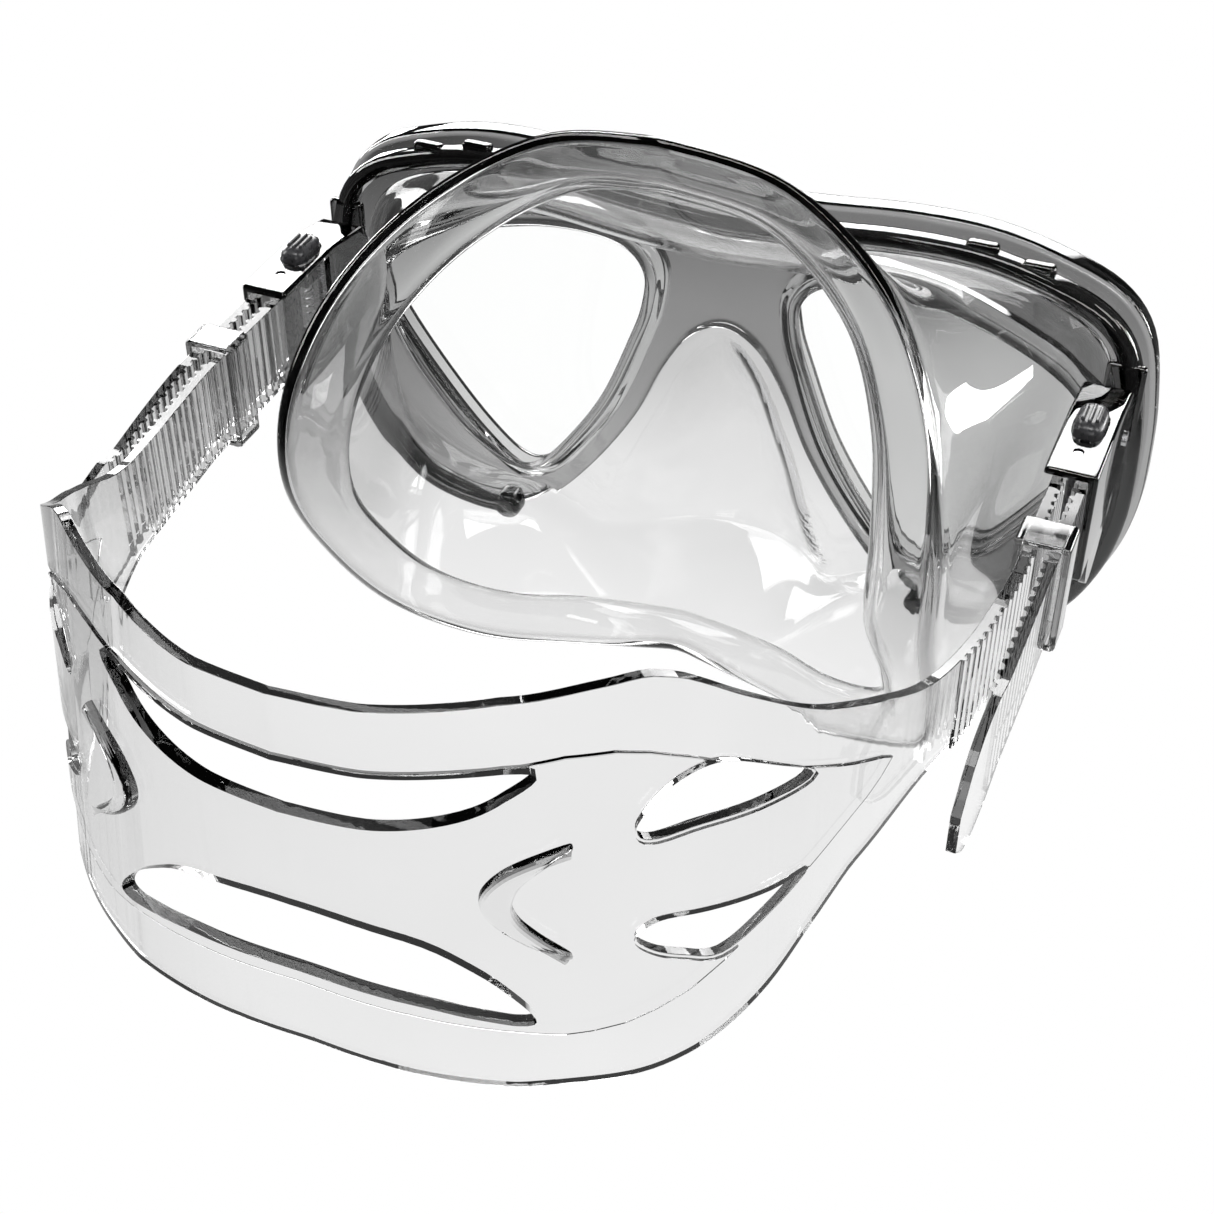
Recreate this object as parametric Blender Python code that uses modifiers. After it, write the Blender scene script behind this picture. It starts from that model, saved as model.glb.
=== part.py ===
"""Two-window diving mask: clear frame, glass lenses, silicone skirt, squeeze buckles and head strap.

Metres, +Z up. The wearer looks along -Y and the head sits on the +Y side. The dimensions below
are drafted from the point midway between the lenses, near the plane of their backs. At the end
the whole model moves so that the origin lies on the bezel's flat front face, at the bridge.
"""

import math

import bmesh
import bpy
from mathutils import Matrix, Vector

MM = 0.001
GAP = 0.3  # mm left between neighbouring pieces
OVERCUT = 2.0  # mm a cutter runs past the faces it cuts through
LONG = 60.0  # mm, longer than any piece a cutter passes through

# ---- driving dimensions, all in millimetres ----

ORIGIN = (0.0, -5.0, 27.0)  # the bridge point of the bezel's front face, in the drafting frame

# Lens opening as (x, z), anticlockwise from the inner top corner, for the +X side.
LENS_OPENING = [
    (15.5, 23.5), (15.8, 15.0), (18.6, 6.5), (24.2, -7.5), (31.0, -19.0), (38.5, -28.6),
    (44.5, -30.8), (52.0, -25.0), (61.5, -13.5), (70.0, -1.0), (74.0, 8.0), (70.5, 15.0),
    (61.0, 21.5), (49.0, 26.2), (35.0, 29.6), (21.5, 29.0),
]
LENS_CENTRE = (43.0, 2.0)
LENS_THICKNESS = 3.0
LENS_ROUNDING = 0.4
LENS_BACK_Y = -0.4
LENS_OVERLAP = 3.0  # glass hidden behind the lip all round
BEZEL_LIP = 0.8  # how much wider the bezel's window is than the skirt's opening

# Frame outline as (x, z), from the top centre round the side to the nose notch, for the +X side.
FRAME_OUTLINE = [
    (0.0, 42.6), (18.0, 43.8), (34.0, 45.4), (49.0, 45.4), (62.0, 42.8), (74.0, 38.0),
    (81.0, 29.6), (83.9, 16.0), (84.7, 3.0), (84.3, -8.0), (81.8, -19.0), (76.5, -30.0),
    (68.5, -38.0), (58.0, -42.0), (46.0, -42.6), (37.0, -38.0), (27.5, -27.0), (18.6, -13.0),
    (12.8, 0.0), (7.0, 9.0), (0.0, 12.6),
]
FRAME_FRONT_Y = ORIGIN[1]
FRAME_BACK_Y = -0.1
FRAME_ROUNDING = 1.4
HOOP_FRONT_Y = 2.3
HOOP_BACK_Y = 7.0
HOOP_INSET = 1.2
HOOP_WIDTH = 3.8
HOOP_ROUNDING = 1.0
SNAP_TABS = [("inner", 49.5, 44.4), ("outer", 60.0, 42.4)]  # x and z of each tab on the hoop's top edge
SNAP_TAB_HALF_WIDTH = 3.0
SNAP_TAB_Y = (3.3, 5.8)
SNAP_TAB_Z = (-3.0, 0.9)  # from below the edge to above it
HOOP_END = (43.5, 26.0)  # the hoop stops at this x, below this z, to leave the nose and brow free

# Skirt: outline of its front as (x, z), and the rim that seals on the face as (x, y, z).
SKIRT_OUTLINE = [
    (0.0, 34.2), (18.0, 35.4), (36.0, 37.4), (52.0, 37.0), (63.0, 34.2), (71.5, 29.4),
    (75.8, 22.0), (77.6, 12.0), (77.8, 0.0), (76.0, -11.0), (72.0, -21.0), (64.5, -28.6),
    (55.0, -33.0), (46.0, -34.4), (38.0, -35.0), (30.0, -39.0), (20.0, -46.0), (9.0, -49.4),
    (0.0, -50.0),
]
SKIRT_RIM = [
    (0.0, 38.0, 71.8), (22.0, 35.0, 66.4), (42.0, 41.5, 54.0), (54.0, 54.5, 40.2),
    (59.6, 65.5, 23.5), (60.8, 67.5, 4.5), (60.4, 54.5, -21.0), (55.4, 39.5, -44.0),
    (40.0, 31.0, -54.0), (22.0, 23.0, -56.6), (0.0, 20.5, -52.8),
]
SKIRT_THICKNESS = 1.6
OUTSIDE_STEPS, MIDDLE_STEPS = 22, 12  # radial divisions of half the front sheet
FRONT_RINGS = (0.0, 0.3, 0.55, 0.78, 1.0)  # shares of the way from the lens hole to the outline
WALL_STEPS = (0.25, 0.5, 0.75, 1.0)  # rings of the wall between its collar and its rim
SKIRT_SHEET_Y = 1.05
NOSE_TOP_Z = 13.0
NOSE_FULL_Z = -24.0
NOSE_DEPTH = 23.0
NOSE_HALF_WIDTHS = [(12.0, 4.0), (0.0, 9.5), (-13.0, 13.8), (-28.0, 19.5), (-50.0, 30.0)]
COLLAR = (7.5, 6.6)  # first step of the wall out of the frame: inwards at the sides, and back
FLANGE = [(3.2, 1.0), (8.0, 0.2), (12.0, -4.0)]  # steps of the turned-in flange: inward, then along Y
FLANGE_CENTRE_Z = 5.0  # the flange turns in towards this height on the middle plane
LIP_FLANGE = 0.55  # share of the flange's width left at the upper lip
LIP_HALF_WIDTH = 30.0
# How the wall leaves its collar, inwards at the sides and back, as shares of its reach.
WALL_LEAVE = (0.4, 0.8)
WALL_ARRIVE = (0.9, 3.0)  # how it meets the rim: share of its reach, and mm of outward flare

# Buckle, hinge and strap end, for the +X side.
BUCKLE_X = (71.8, 81.0)
BUCKLE_WALL = 1.2
BUCKLE_END_Y = 40.5
SLOPE_END_Y = 21.5  # where the slope from the hinge barrel meets the level plates
BUCKLE_HALF_HEIGHT = 11.0
BUCKLE_Z = 17.3
# Outer wall of the buckle as (y, z): it hangs below the lower plate at the rear.
BUCKLE_SHIELD = [
    (39.6, 27.0), (38.6, 18.0), (37.4, 8.0), (35.6, 0.6), (31.0, -1.8), (25.0, 1.4), (19.0, 9.0),
    (19.0, 24.0),
]
HINGE_Y = 14.0
HINGE_BARREL_R = 5.6
HINGE_PIN_R = 1.4
HINGE_BORE_R = HINGE_PIN_R + 0.15
LUG_X = (74.7, 78.1)
LUG_R = 3.2
LUG_CLEARANCE = 0.45
SIDE_WINDOW_FROM = 3.0  # the buckle is open towards the head from this far behind the roller
PLATE_BORE_R = 0.95  # the plates' bores for the roller's journals and the pawl's pin
PIN_R = 0.72  # of those journals and that pin
PAWL_BORE_R = 0.9
HINGE_PIN_LENGTH = 10.0
LUG_BRACKET = (82.0, 5.2, 6.0)  # outer x, front y and half height of the plate that carries the lug
ROLLER_X, ROLLER_Y, ROLLER_R = 76.4, 23.0, 1.2
PAWL_X, PAWL_Y, PAWL_R = 76.2, 37.0, 1.05
# The pawl's nose and teeth as (x, y) from its pin, for the +X side.
PAWL_NOSE = [(-1.0, -1.6), (-0.7, -3.6), (0.5, -3.6), (1.3, -2.6), (1.0, -2.0), (1.35, -1.2)]
BUTTON_X, BUTTON_Y = 76.4, 28.6
BUTTON_SIZE = (5.2, 8.0)
BUTTON_PROUD = 2.0
BUTTON_STEM = (2.0, 4.2)
BUTTON_TRAVEL = 1.2
RIB_PITCH, RIB_HALF_WIDTH, RIB_PROUD, RIB_ROOT = 1.3, 0.3, 0.4, 0.6  # the three ribs on a button's cap
STEM_REACH = 4.6  # from the buckle's mid-height to the stem's end
SPRING_R, SPRING_WIRE_R, SPRING_TURNS = 0.8, 0.2, 5

STRAP_THICKNESS = 1.6
STRAP_END_HALF = 9.0
LOOP_R = ROLLER_R + GAP + STRAP_THICKNESS / 2
KEEPER_Y = (57.1, 63.8)
KEEPER_OPENING = (3.5, 9.6)  # half width and half height
KEEPER_WALL = 1.2
KEEPER_X = 76.4

# Strap in plan as (x, y) from the back of the head to the roller, then the tail going back.
STRAP_RUN = [
    (0.0, 171.0), (13.0, 170.2), (25.0, 166.5), (36.5, 160.2), (48.0, 150.5), (57.5, 138.5),
    (64.5, 121.0), (68.8, 105.0), (71.8, 90.0), (73.5, 76.0), (ROLLER_X - LOOP_R, 66.0),
    (ROLLER_X - LOOP_R, 40.0),
]
STRAP_TAIL = [
    (ROLLER_X + LOOP_R, 40.0), (ROLLER_X + LOOP_R, 66.0), (78.4, 82.0), (77.8, 98.0),
    (77.2, 114.0),
]
# Strap's top and bottom edges against the distance along the strap from the back of the head.
STRAP_TOP = [
    (0.0, 60.2), (16.0, 60.0), (32.0, 59.8), (44.0, 60.6), (52.0, 60.0), (64.0, 53.2),
    (76.0, 45.2), (88.0, 38.6), (104.0, 30.4), (118.0, 27.2), (132.0, 26.3),
]
STRAP_BOTTOM = [
    (0.0, -7.0), (20.0, -6.6), (36.0, -7.0), (48.0, -8.0), (58.0, -6.0), (66.0, -2.4),
    (75.0, 3.0), (87.0, 7.7), (104.0, 10.6), (118.0, 9.2), (132.0, 8.3),
]
# How far the panel leans out at the bottom for each millimetre of height, against the same distance.
STRAP_LEAN = [(0.0, 0.0), (12.0, 0.025), (30.0, 0.1), (55.0, 0.1), (85.0, 0.0), (400.0, 0.0)]
STRAP_LEAN_Z = 25.0
# Openings of the rear panel, as (distance along the strap, z).
MIDDLE_UPPER_HOLE = [
    (0.0, 40.0), (14.0, 40.5), (24.0, 42.2), (30.0, 44.9), (34.2, 48.7), (25.0, 49.5), (0.0, 49.3),
]
MIDDLE_LOWER_HOLE = [
    (0.0, 8.7), (16.0, 8.3), (25.0, 6.7), (32.6, 5.6), (31.0, 9.6), (25.0, 15.6), (16.0, 20.6), (0.0, 22.3),
]
SIDE_UPPER_HOLE = [
    (47.4, 37.0), (49.2, 34.4), (57.0, 34.5), (67.0, 34.1), (74.9, 34.4), (67.6, 40.1), (60.0, 44.0),
    (54.5, 43.4), (50.4, 41.0),
]
SIDE_LOWER_HOLE = [
    (46.8, 17.8), (49.4, 14.6), (54.0, 12.0), (59.4, 9.9), (67.0, 12.8), (74.8, 16.4), (67.0, 17.4),
    (57.0, 18.9), (50.0, 19.9),
]
TAB_HALF = 10.6
TAB_LENGTH = 22.0
TAB_WIDENS_OVER = 0.25  # share of the tab's length over which it grows to full width
TAB_STRAIGHT = 0.45  # share of the tab's length before its rounded end
TAB_BLUNTNESS = 0.12
TAIL_DROP = 7.0  # how far the tail's end hangs below the buckle's mid-height
TAIL_BEND = 1.3  # power of the curve it hangs along

CIRCLE_STEPS = 20
OUTLINE_STEPS = 2  # points to each span of a smooth outline


# ---- scene and materials ----

for old in list(bpy.data.objects):
    bpy.data.objects.remove(old, do_unlink=True)
parts = bpy.data.collections.new("diving_mask")
cutters = bpy.data.collections.new("cutters")
for made in (parts, cutters):
    bpy.context.scene.collection.children.link(made)


def material(name, colour, roughness, metallic=0.0, alpha=1.0):
    made = bpy.data.materials.new(name)
    made.use_nodes = True
    shader = made.node_tree.nodes["Principled BSDF"]
    shader.inputs["Base Color"].default_value = (*colour, 1.0)
    shader.inputs["Roughness"].default_value = roughness
    shader.inputs["Metallic"].default_value = metallic
    shader.inputs["Alpha"].default_value = alpha
    return made


FRAME_PLASTIC = material("clear_polycarbonate", (0.72, 0.73, 0.74), 0.08, alpha=0.4)
SILICONE = material("clear_silicone", (0.80, 0.81, 0.82), 0.25, alpha=0.5)
GLASS = material("tempered_glass", (0.94, 0.96, 0.96), 0.02, alpha=0.15)
BUTTON_PLASTIC = material("smoke_plastic", (0.07, 0.07, 0.075), 0.35)
STEEL = material("stainless_steel", (0.72, 0.72, 0.73), 0.25, metallic=1.0)


def add_object(name, mesh, collection=parts, finish=None):
    made = bpy.data.objects.new(name, mesh)
    collection.objects.link(made)
    if finish:
        mesh.materials.clear()
        mesh.materials.append(finish)
    if collection is cutters:
        made.hide_render = True
        made.display_type = "WIRE"
    return made


def mesh_from(bm, name, smooth_angle=35.0):
    bmesh.ops.recalc_face_normals(bm, faces=bm.faces)
    mesh = bpy.data.meshes.new(name)
    bm.to_mesh(mesh)
    bm.free()
    mesh.shade_smooth()
    mesh.set_sharp_from_angle(angle=math.radians(smooth_angle))
    return mesh


def boolean(target, cutter, operation="DIFFERENCE"):
    modifier = target.modifiers.new(cutter.name, "BOOLEAN")
    modifier.operation = operation
    modifier.object = cutter


# ---- outlines ----


def mirrored(half):
    """A closed outline from its +X half, whose first and last points lie on the plane x = 0."""
    return half + [(-x, z) for x, z in reversed(half[1:-1])]


def offset_outline(points, distance):
    """Each point of a closed outline moved outwards by distance, along the mean of its edge normals."""
    count = len(points)
    area = sum(
        points[i][0] * points[(i + 1) % count][1] - points[(i + 1) % count][0] * points[i][1]
        for i in range(count)
    )
    turn = 1.0 if area > 0 else -1.0
    moved = []
    for i, point in enumerate(points):
        before = (Vector(point) - Vector(points[i - 1])).normalized()
        after = (Vector(points[(i + 1) % count]) - Vector(point)).normalized()
        along = (before + after).normalized()
        outward = Vector((along.y, -along.x)) * turn
        stretch = 1.0 / max(0.6, outward.dot(Vector((before.y, -before.x)) * turn))
        moved.append(tuple(Vector(point) + outward * distance * stretch))
    return moved


def smooth_point(points, i, t, closed):
    """A point of the Catmull-Rom curve through points, on the span that follows point i."""
    count = len(points)

    def pick(k):
        if closed:
            return Vector(points[k % count])
        return Vector(points[min(max(k, 0), count - 1)])

    a, b, c, d = pick(i - 1), pick(i), pick(i + 1), pick(i + 2)
    linear = (c - a) * t
    square = (2 * a - 5 * b + 4 * c - d) * t**2
    cube = (3 * b - a - 3 * c + d) * t**3
    return b + (linear + square + cube) / 2


def smooth_curve(points, steps, closed=False):
    """Points along the smooth curve through points, steps to a span."""
    spans = len(points) if closed else len(points) - 1
    made = [smooth_point(points, i, k / steps, closed) for i in range(spans) for k in range(steps)]
    return made if closed else made + [Vector(points[-1])]


def height_at(table, x):
    """The smooth curve through a table of (x, height), read at x."""
    for i in range(len(table) - 1):
        if x <= table[i + 1][0] or i == len(table) - 2:
            t = (x - table[i][0]) / (table[i + 1][0] - table[i][0])
            return smooth_point(table, i, min(max(t, 0.0), 1.0), False).y
    return table[-1][1]


def straight_at(table, x):
    """A table of (x, value) read at x with straight lines between its rows."""
    for (x0, a), (x1, b) in zip(table, table[1:]):
        if x <= x1:
            return a + (b - a) * (x - x0) / (x1 - x0)
    return table[-1][1]


def slab(name, outline, front_y, back_y, rounding=0.0, collection=parts, finish=None):
    """A flat piece cut to a smooth closed outline in the XZ plane, from front_y to back_y."""
    curve = bpy.data.curves.new(name, "CURVE")
    curve.dimensions = "2D"
    curve.fill_mode = "BOTH"
    curve.extrude = (abs(back_y - front_y) / 2 - rounding) * MM
    curve.bevel_depth = rounding * MM
    curve.bevel_resolution = 1
    curve.offset = -rounding * MM
    points = smooth_curve(outline, OUTLINE_STEPS, closed=True)
    spline = curve.splines.new("POLY")
    spline.points.add(len(points) - 1)
    for slot, point in zip(spline.points, points):
        slot.co = (point.x * MM, point.y * MM, 0.0, 1.0)
    spline.use_cyclic_u = True
    holder = add_object(name + "_outline", curve, cutters)
    holder.rotation_euler = (math.radians(90), 0, 0)
    holder.location = (0, (front_y + back_y) / 2 * MM, 0)
    bpy.context.view_layer.update()
    mesh = bpy.data.meshes.new_from_object(holder.evaluated_get(bpy.context.evaluated_depsgraph_get()))
    place = holder.matrix_world.copy()
    bpy.data.objects.remove(holder)
    bm = bmesh.new()
    bm.from_mesh(mesh)
    bmesh.ops.remove_doubles(bm, verts=bm.verts, dist=0.00001)
    bm.transform(place)
    return add_object(name, mesh_from(bm, name), collection, finish)


# ---- simple solids ----


def box(name, low, high, collection=parts, finish=None, bevel=0.0):
    bm = bmesh.new()
    size = Vector(high) - Vector(low)
    middle = (Vector(high) + Vector(low)) / 2
    bmesh.ops.create_cube(bm, size=1.0)
    bmesh.ops.scale(bm, vec=size * MM, verts=bm.verts)
    bmesh.ops.translate(bm, vec=middle * MM, verts=bm.verts)
    made = add_object(name, mesh_from(bm, name), collection, finish)
    if bevel:
        rounding = made.modifiers.new("rounded_edges", "BEVEL")
        rounding.width = bevel * MM
        rounding.segments = 2
    return made


def axis_turn(axis):
    """The turn that takes +Z to the named axis."""
    return {"X": Matrix.Rotation(math.radians(90), 4, "Y"), "Z": Matrix.Identity(4)}[axis]


def rod(name, centre, radius, length, axis, collection=parts, finish=None, steps=CIRCLE_STEPS):
    bm = bmesh.new()
    bmesh.ops.create_cone(
        bm, cap_ends=True, segments=steps, radius1=radius * MM, radius2=radius * MM, depth=length * MM
    )
    made = add_object(name, mesh_from(bm, name), collection, finish)
    made.matrix_world = Matrix.Translation(Vector(centre) * MM) @ axis_turn(axis)
    return made


def turned(name, centre, profile, finish):
    """A solid turned about a vertical axis; profile runs down its outer side as (radius, z)."""
    bm = bmesh.new()
    corners = [bm.verts.new((radius * MM, 0, z * MM)) for radius, z in profile]
    for a, b in zip(corners, corners[1:]):
        bm.edges.new((a, b))
    mesh = bpy.data.meshes.new(name)
    bm.to_mesh(mesh)
    bm.free()
    made = add_object(name, mesh, parts, finish)
    made.location = Vector(centre) * MM
    screw = made.modifiers.new("turned", "SCREW")
    screw.steps = screw.render_steps = CIRCLE_STEPS
    screw.use_merge_vertices = True
    screw.merge_threshold = 0.00001
    return made


# ---- frame and lenses ----


def both_sides(outline):
    """An outline on the +X side, and its mirror image."""
    return (("left", outline), ("right", [(-x, z) for x, z in outline]))


def make_frame():
    outline = mirrored(FRAME_OUTLINE)
    bezel = slab("front_frame", outline, FRAME_FRONT_Y, FRAME_BACK_Y, FRAME_ROUNDING, finish=FRAME_PLASTIC)
    seat_front = LENS_BACK_Y - LENS_THICKNESS - GAP
    for side, opening in both_sides(LENS_OPENING):
        window = offset_outline(opening, BEZEL_LIP)
        pocket = offset_outline(opening, LENS_OVERLAP + GAP)
        through_y = FRAME_BACK_Y + OVERCUT
        boolean(bezel, slab("window_" + side, window, FRAME_FRONT_Y - OVERCUT, through_y, collection=cutters))
        boolean(bezel, slab("pocket_" + side, pocket, seat_front, through_y, collection=cutters))


def make_hoop():
    outer = offset_outline(mirrored(FRAME_OUTLINE), -HOOP_INSET)
    inner = offset_outline(mirrored(FRAME_OUTLINE), -HOOP_INSET - HOOP_WIDTH)
    front_y, back_y = HOOP_FRONT_Y - OVERCUT, HOOP_BACK_Y + OVERCUT
    hoop = slab("rear_frame", outer, HOOP_FRONT_Y, HOOP_BACK_Y, HOOP_ROUNDING, finish=FRAME_PLASTIC)
    boolean(hoop, slab("hoop_opening", inner, front_y, back_y, collection=cutters))
    end_x, end_z = HOOP_END
    boolean(hoop, box("nose_clearance", (-end_x, front_y, -LONG), (end_x, back_y, end_z), cutters))
    for sign, side in ((1, "left"), (-1, "right")):
        add_lug(hoop, side, sign)
        for place, tab_x, tab_z in SNAP_TABS:
            tab = box(
                f"snap_tab_{place}_{side}",
                (sign * tab_x - SNAP_TAB_HALF_WIDTH, SNAP_TAB_Y[0], tab_z + SNAP_TAB_Z[0]),
                (sign * tab_x + SNAP_TAB_HALF_WIDTH, SNAP_TAB_Y[1], tab_z + SNAP_TAB_Z[1]),
                cutters,
                bevel=0.7,
            )
            boolean(hoop, tab, "UNION")


def add_lug(hoop, side, sign):
    """The bored lug the buckle hangs on, standing on a bracket that reaches out to the hoop."""
    x = sign * (LUG_X[0] + LUG_X[1]) / 2
    thickness = LUG_X[1] - LUG_X[0]
    outer_x, front_y, half_height = LUG_BRACKET
    bracket_x = sorted((sign * LUG_X[0], sign * outer_x))
    boolean(hoop, box(
        "lug_bracket_" + side,
        (bracket_x[0], front_y, BUCKLE_Z - half_height),
        (bracket_x[1], HOOP_BACK_Y, BUCKLE_Z + half_height),
        cutters,
    ), "UNION")
    # The arm is a hair inside the bracket's and the eye's faces, so no two faces coincide.
    inset = 0.01
    boolean(hoop, box(
        "lug_" + side,
        (x - thickness / 2 + inset, front_y + 0.2, BUCKLE_Z - LUG_R),
        (x + thickness / 2 - inset, HINGE_Y, BUCKLE_Z + LUG_R),
        cutters,
    ), "UNION")
    boolean(hoop, rod("lug_eye_" + side, (x, HINGE_Y, BUCKLE_Z), LUG_R, thickness, "X", cutters), "UNION")
    boolean(hoop, rod("lug_bore_" + side, (x, HINGE_Y, BUCKLE_Z), HINGE_BORE_R, LONG / 6, "X", cutters))


def make_lenses():
    for side, outline in both_sides(LENS_OPENING):
        edge = offset_outline(outline, LENS_OVERLAP)
        slab("lens_" + side, edge, LENS_BACK_Y - LENS_THICKNESS, LENS_BACK_Y, LENS_ROUNDING, finish=GLASS)


# ---- skirt ----


def nose_half_width(z):
    table = NOSE_HALF_WIDTHS
    if z >= table[0][0]:
        return table[0][1]
    for (z0, w0), (z1, w1) in zip(table, table[1:]):
        if z >= z1:
            return w0 + (w1 - w0) * (z0 - z) / (z0 - z1)
    return table[-1][1]


def sheet_y(x, z):
    """How far back the skirt's front sheet lies: level at the lenses, forward in the nose pocket."""
    down = min(max((NOSE_TOP_Z - z) / (NOSE_TOP_Z - NOSE_FULL_Z), 0.0), 1.0)
    depth = NOSE_DEPTH * (1 - (1 - down) ** 2) * down**0.35
    across = min(abs(x) / nose_half_width(z), 1.0)
    return SKIRT_SHEET_Y - depth * (1 - across**2.4) ** 1.6


def ray_hit(outline, centre, direction):
    """Where a ray from centre first crosses an open or closed outline of 2D points."""
    best = None
    for a, b in zip(outline, outline[1:]):
        edge = b - a
        cross = direction.x * edge.y - direction.y * edge.x
        if abs(cross) < 1e-9:
            continue
        reach = ((a.x - centre.x) * edge.y - (a.y - centre.y) * edge.x) / cross
        along = ((a.x - centre.x) * direction.y - (a.y - centre.y) * direction.x) / cross
        if reach > 0 and -1e-6 <= along <= 1 + 1e-6 and (best is None or reach > best):
            best = reach
    return centre + direction * best


def skirt_angles(centre):
    """Directions from the lens centre: round the outside from top to bottom, then up the middle plane."""
    top = Vector(SKIRT_OUTLINE[0]) - centre
    bottom = Vector(SKIRT_OUTLINE[-1]) - centre
    start = math.atan2(top.y, top.x)
    end = math.atan2(bottom.y, bottom.x)
    outside = [start + (end - start) * i / OUTSIDE_STEPS for i in range(OUTSIDE_STEPS + 1)]
    round_to_top = start - end - 2 * math.pi
    middle = [end + round_to_top * i / MIDDLE_STEPS for i in range(1, MIDDLE_STEPS)]
    return outside, middle


def skirt_front(bm, centre):
    """The sheet with the lens hole in it; returns its vertices along the outer outline."""
    hole = smooth_curve(LENS_OPENING, 3, closed=True)
    hole.append(hole[0])
    edge = smooth_curve(SKIRT_OUTLINE, 3)
    edge.append(edge[0])
    outside, middle = skirt_angles(centre)
    rings = []
    for angle in outside + middle:
        direction = Vector((math.cos(angle), math.sin(angle)))
        near = ray_hit(hole, centre, direction)
        far = ray_hit(edge, centre, direction)
        if angle in middle or angle in (outside[0], outside[-1]):
            far.x = 0.0
        points = [near.lerp(far, share) for share in FRONT_RINGS]
        rings.append([bm.verts.new((p.x * MM, sheet_y(p.x, p.y) * MM, p.y * MM)) for p in points])
    for i, ring in enumerate(rings):
        after = rings[(i + 1) % len(rings)]
        for k in range(len(FRONT_RINGS) - 1):
            bm.faces.new((ring[k], ring[k + 1], after[k + 1], after[k]))
    return [ring[-1] for ring in rings[: len(outside)]]


def running_lengths(points):
    """The distance along a line of points, at each point."""
    lengths = [0.0]
    for a, b in zip(points, points[1:]):
        lengths.append(lengths[-1] + (b - a).length)
    return lengths


def hermite(start, leave, end, arrive, t):
    """The cubic from start to end that leaves along one vector and arrives along the other."""
    along_start = start * (2 * t**3 - 3 * t**2 + 1) + leave * (t**3 - 2 * t**2 + t)
    along_end = end * (3 * t**2 - 2 * t**3) + arrive * (t**3 - t**2)
    return along_start + along_end


def wall_column(foot, end):
    """One line of the wall from the front sheet to the rim, and on over the flange."""
    sideways = (foot.x / max(x for x, _ in SKIRT_OUTLINE)) ** 6
    first = foot + Vector((-COLLAR[0] * sideways, COLLAR[1], 0))
    inward = Vector((-end.x, 0.0, FLANGE_CENTRE_Z - end.z)).normalized()
    reach = (end - first).length
    leave = Vector((-WALL_LEAVE[0] * sideways, WALL_LEAVE[1], 0)) * reach
    arrive = (end - first) * WALL_ARRIVE[0] - inward * WALL_ARRIVE[1]
    points = [first] + [hermite(first, leave, end, arrive, t) for t in WALL_STEPS]
    narrow = 1.0
    if end.z < 0:
        narrow = LIP_FLANGE + (1 - LIP_FLANGE) * min(1.0, abs(end.x) / LIP_HALF_WIDTH)
    return points + [end + inward * step * narrow + Vector((0, along, 0)) for step, along in FLANGE]


def skirt_walls(bm, start):
    """Walls from the front outline back to the rim, then the flange turned in against the face."""
    rim = smooth_curve(SKIRT_RIM, 4)
    lengths = running_lengths(rim)
    columns = []
    for i, vert in enumerate(start):
        wanted = lengths[-1] * i / (len(start) - 1)
        k = next(n for n in range(len(rim) - 1) if lengths[n + 1] >= wanted - 1e-9)
        end = rim[k].lerp(rim[k + 1], (wanted - lengths[k]) / (lengths[k + 1] - lengths[k]))
        points = wall_column(vert.co / MM, end)
        if i in (0, len(start) - 1):
            for point in points:
                point.x = 0.0
        columns.append([vert] + [bm.verts.new(point * MM) for point in points])
    for left, right in zip(columns, columns[1:]):
        for k in range(len(left) - 1):
            bm.faces.new((left[k], left[k + 1], right[k + 1], right[k]))


def make_skirt():
    bm = bmesh.new()
    centre = Vector(LENS_CENTRE)
    skirt_walls(bm, skirt_front(bm, centre))
    made = add_object("skirt", mesh_from(bm, "skirt", 60.0), parts, SILICONE)
    mirror = made.modifiers.new("both_halves", "MIRROR")
    mirror.merge_threshold = 0.0001
    shell = made.modifiers.new("wall", "SOLIDIFY")
    shell.thickness = SKIRT_THICKNESS * MM
    shell.offset = 0.0


# ---- strap ----


def strap_path():
    """The strap's plan path as points with the distance along it: run, turn round the roller, tail."""
    run = smooth_curve(STRAP_RUN, 3)
    turn = []
    turn_steps = 8
    centre = Vector((ROLLER_X, ROLLER_Y))
    for i in range(turn_steps + 1):
        angle = math.pi + math.pi * i / turn_steps
        turn.append(centre + Vector((math.cos(angle), math.sin(angle))) * LOOP_R)
    path = run + turn + smooth_curve(STRAP_TAIL, 3)
    return path, running_lengths(path)


def strap_edges(path, lengths):
    """Top and bottom height of the strap at each path point."""
    tail_start = next(s for p, s in zip(path, lengths) if p.x > ROLLER_X and p.y > KEEPER_Y[1] + 4)
    end = lengths[-1]
    heights = []
    for s in lengths:
        if s <= STRAP_TOP[-1][0]:
            heights.append((height_at(STRAP_TOP, s), height_at(STRAP_BOTTOM, s)))
            continue
        along = max(0.0, (s - tail_start) / (end - tail_start))
        half = STRAP_END_HALF
        into_tab = (s - (end - TAB_LENGTH)) / TAB_LENGTH
        if into_tab > 0:
            widened = min(1.0, into_tab / TAB_WIDENS_OVER)
            past_straight = max(0.0, into_tab - TAB_STRAIGHT) / (1 - TAB_STRAIGHT)
            half += (TAB_HALF - STRAP_END_HALF) * widened
            half *= math.sqrt(max(TAB_BLUNTNESS, 1 - past_straight**2))
        middle = BUCKLE_Z - TAIL_DROP * along**TAIL_BEND
        heights.append((middle + half, middle - half))
    return heights


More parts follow.
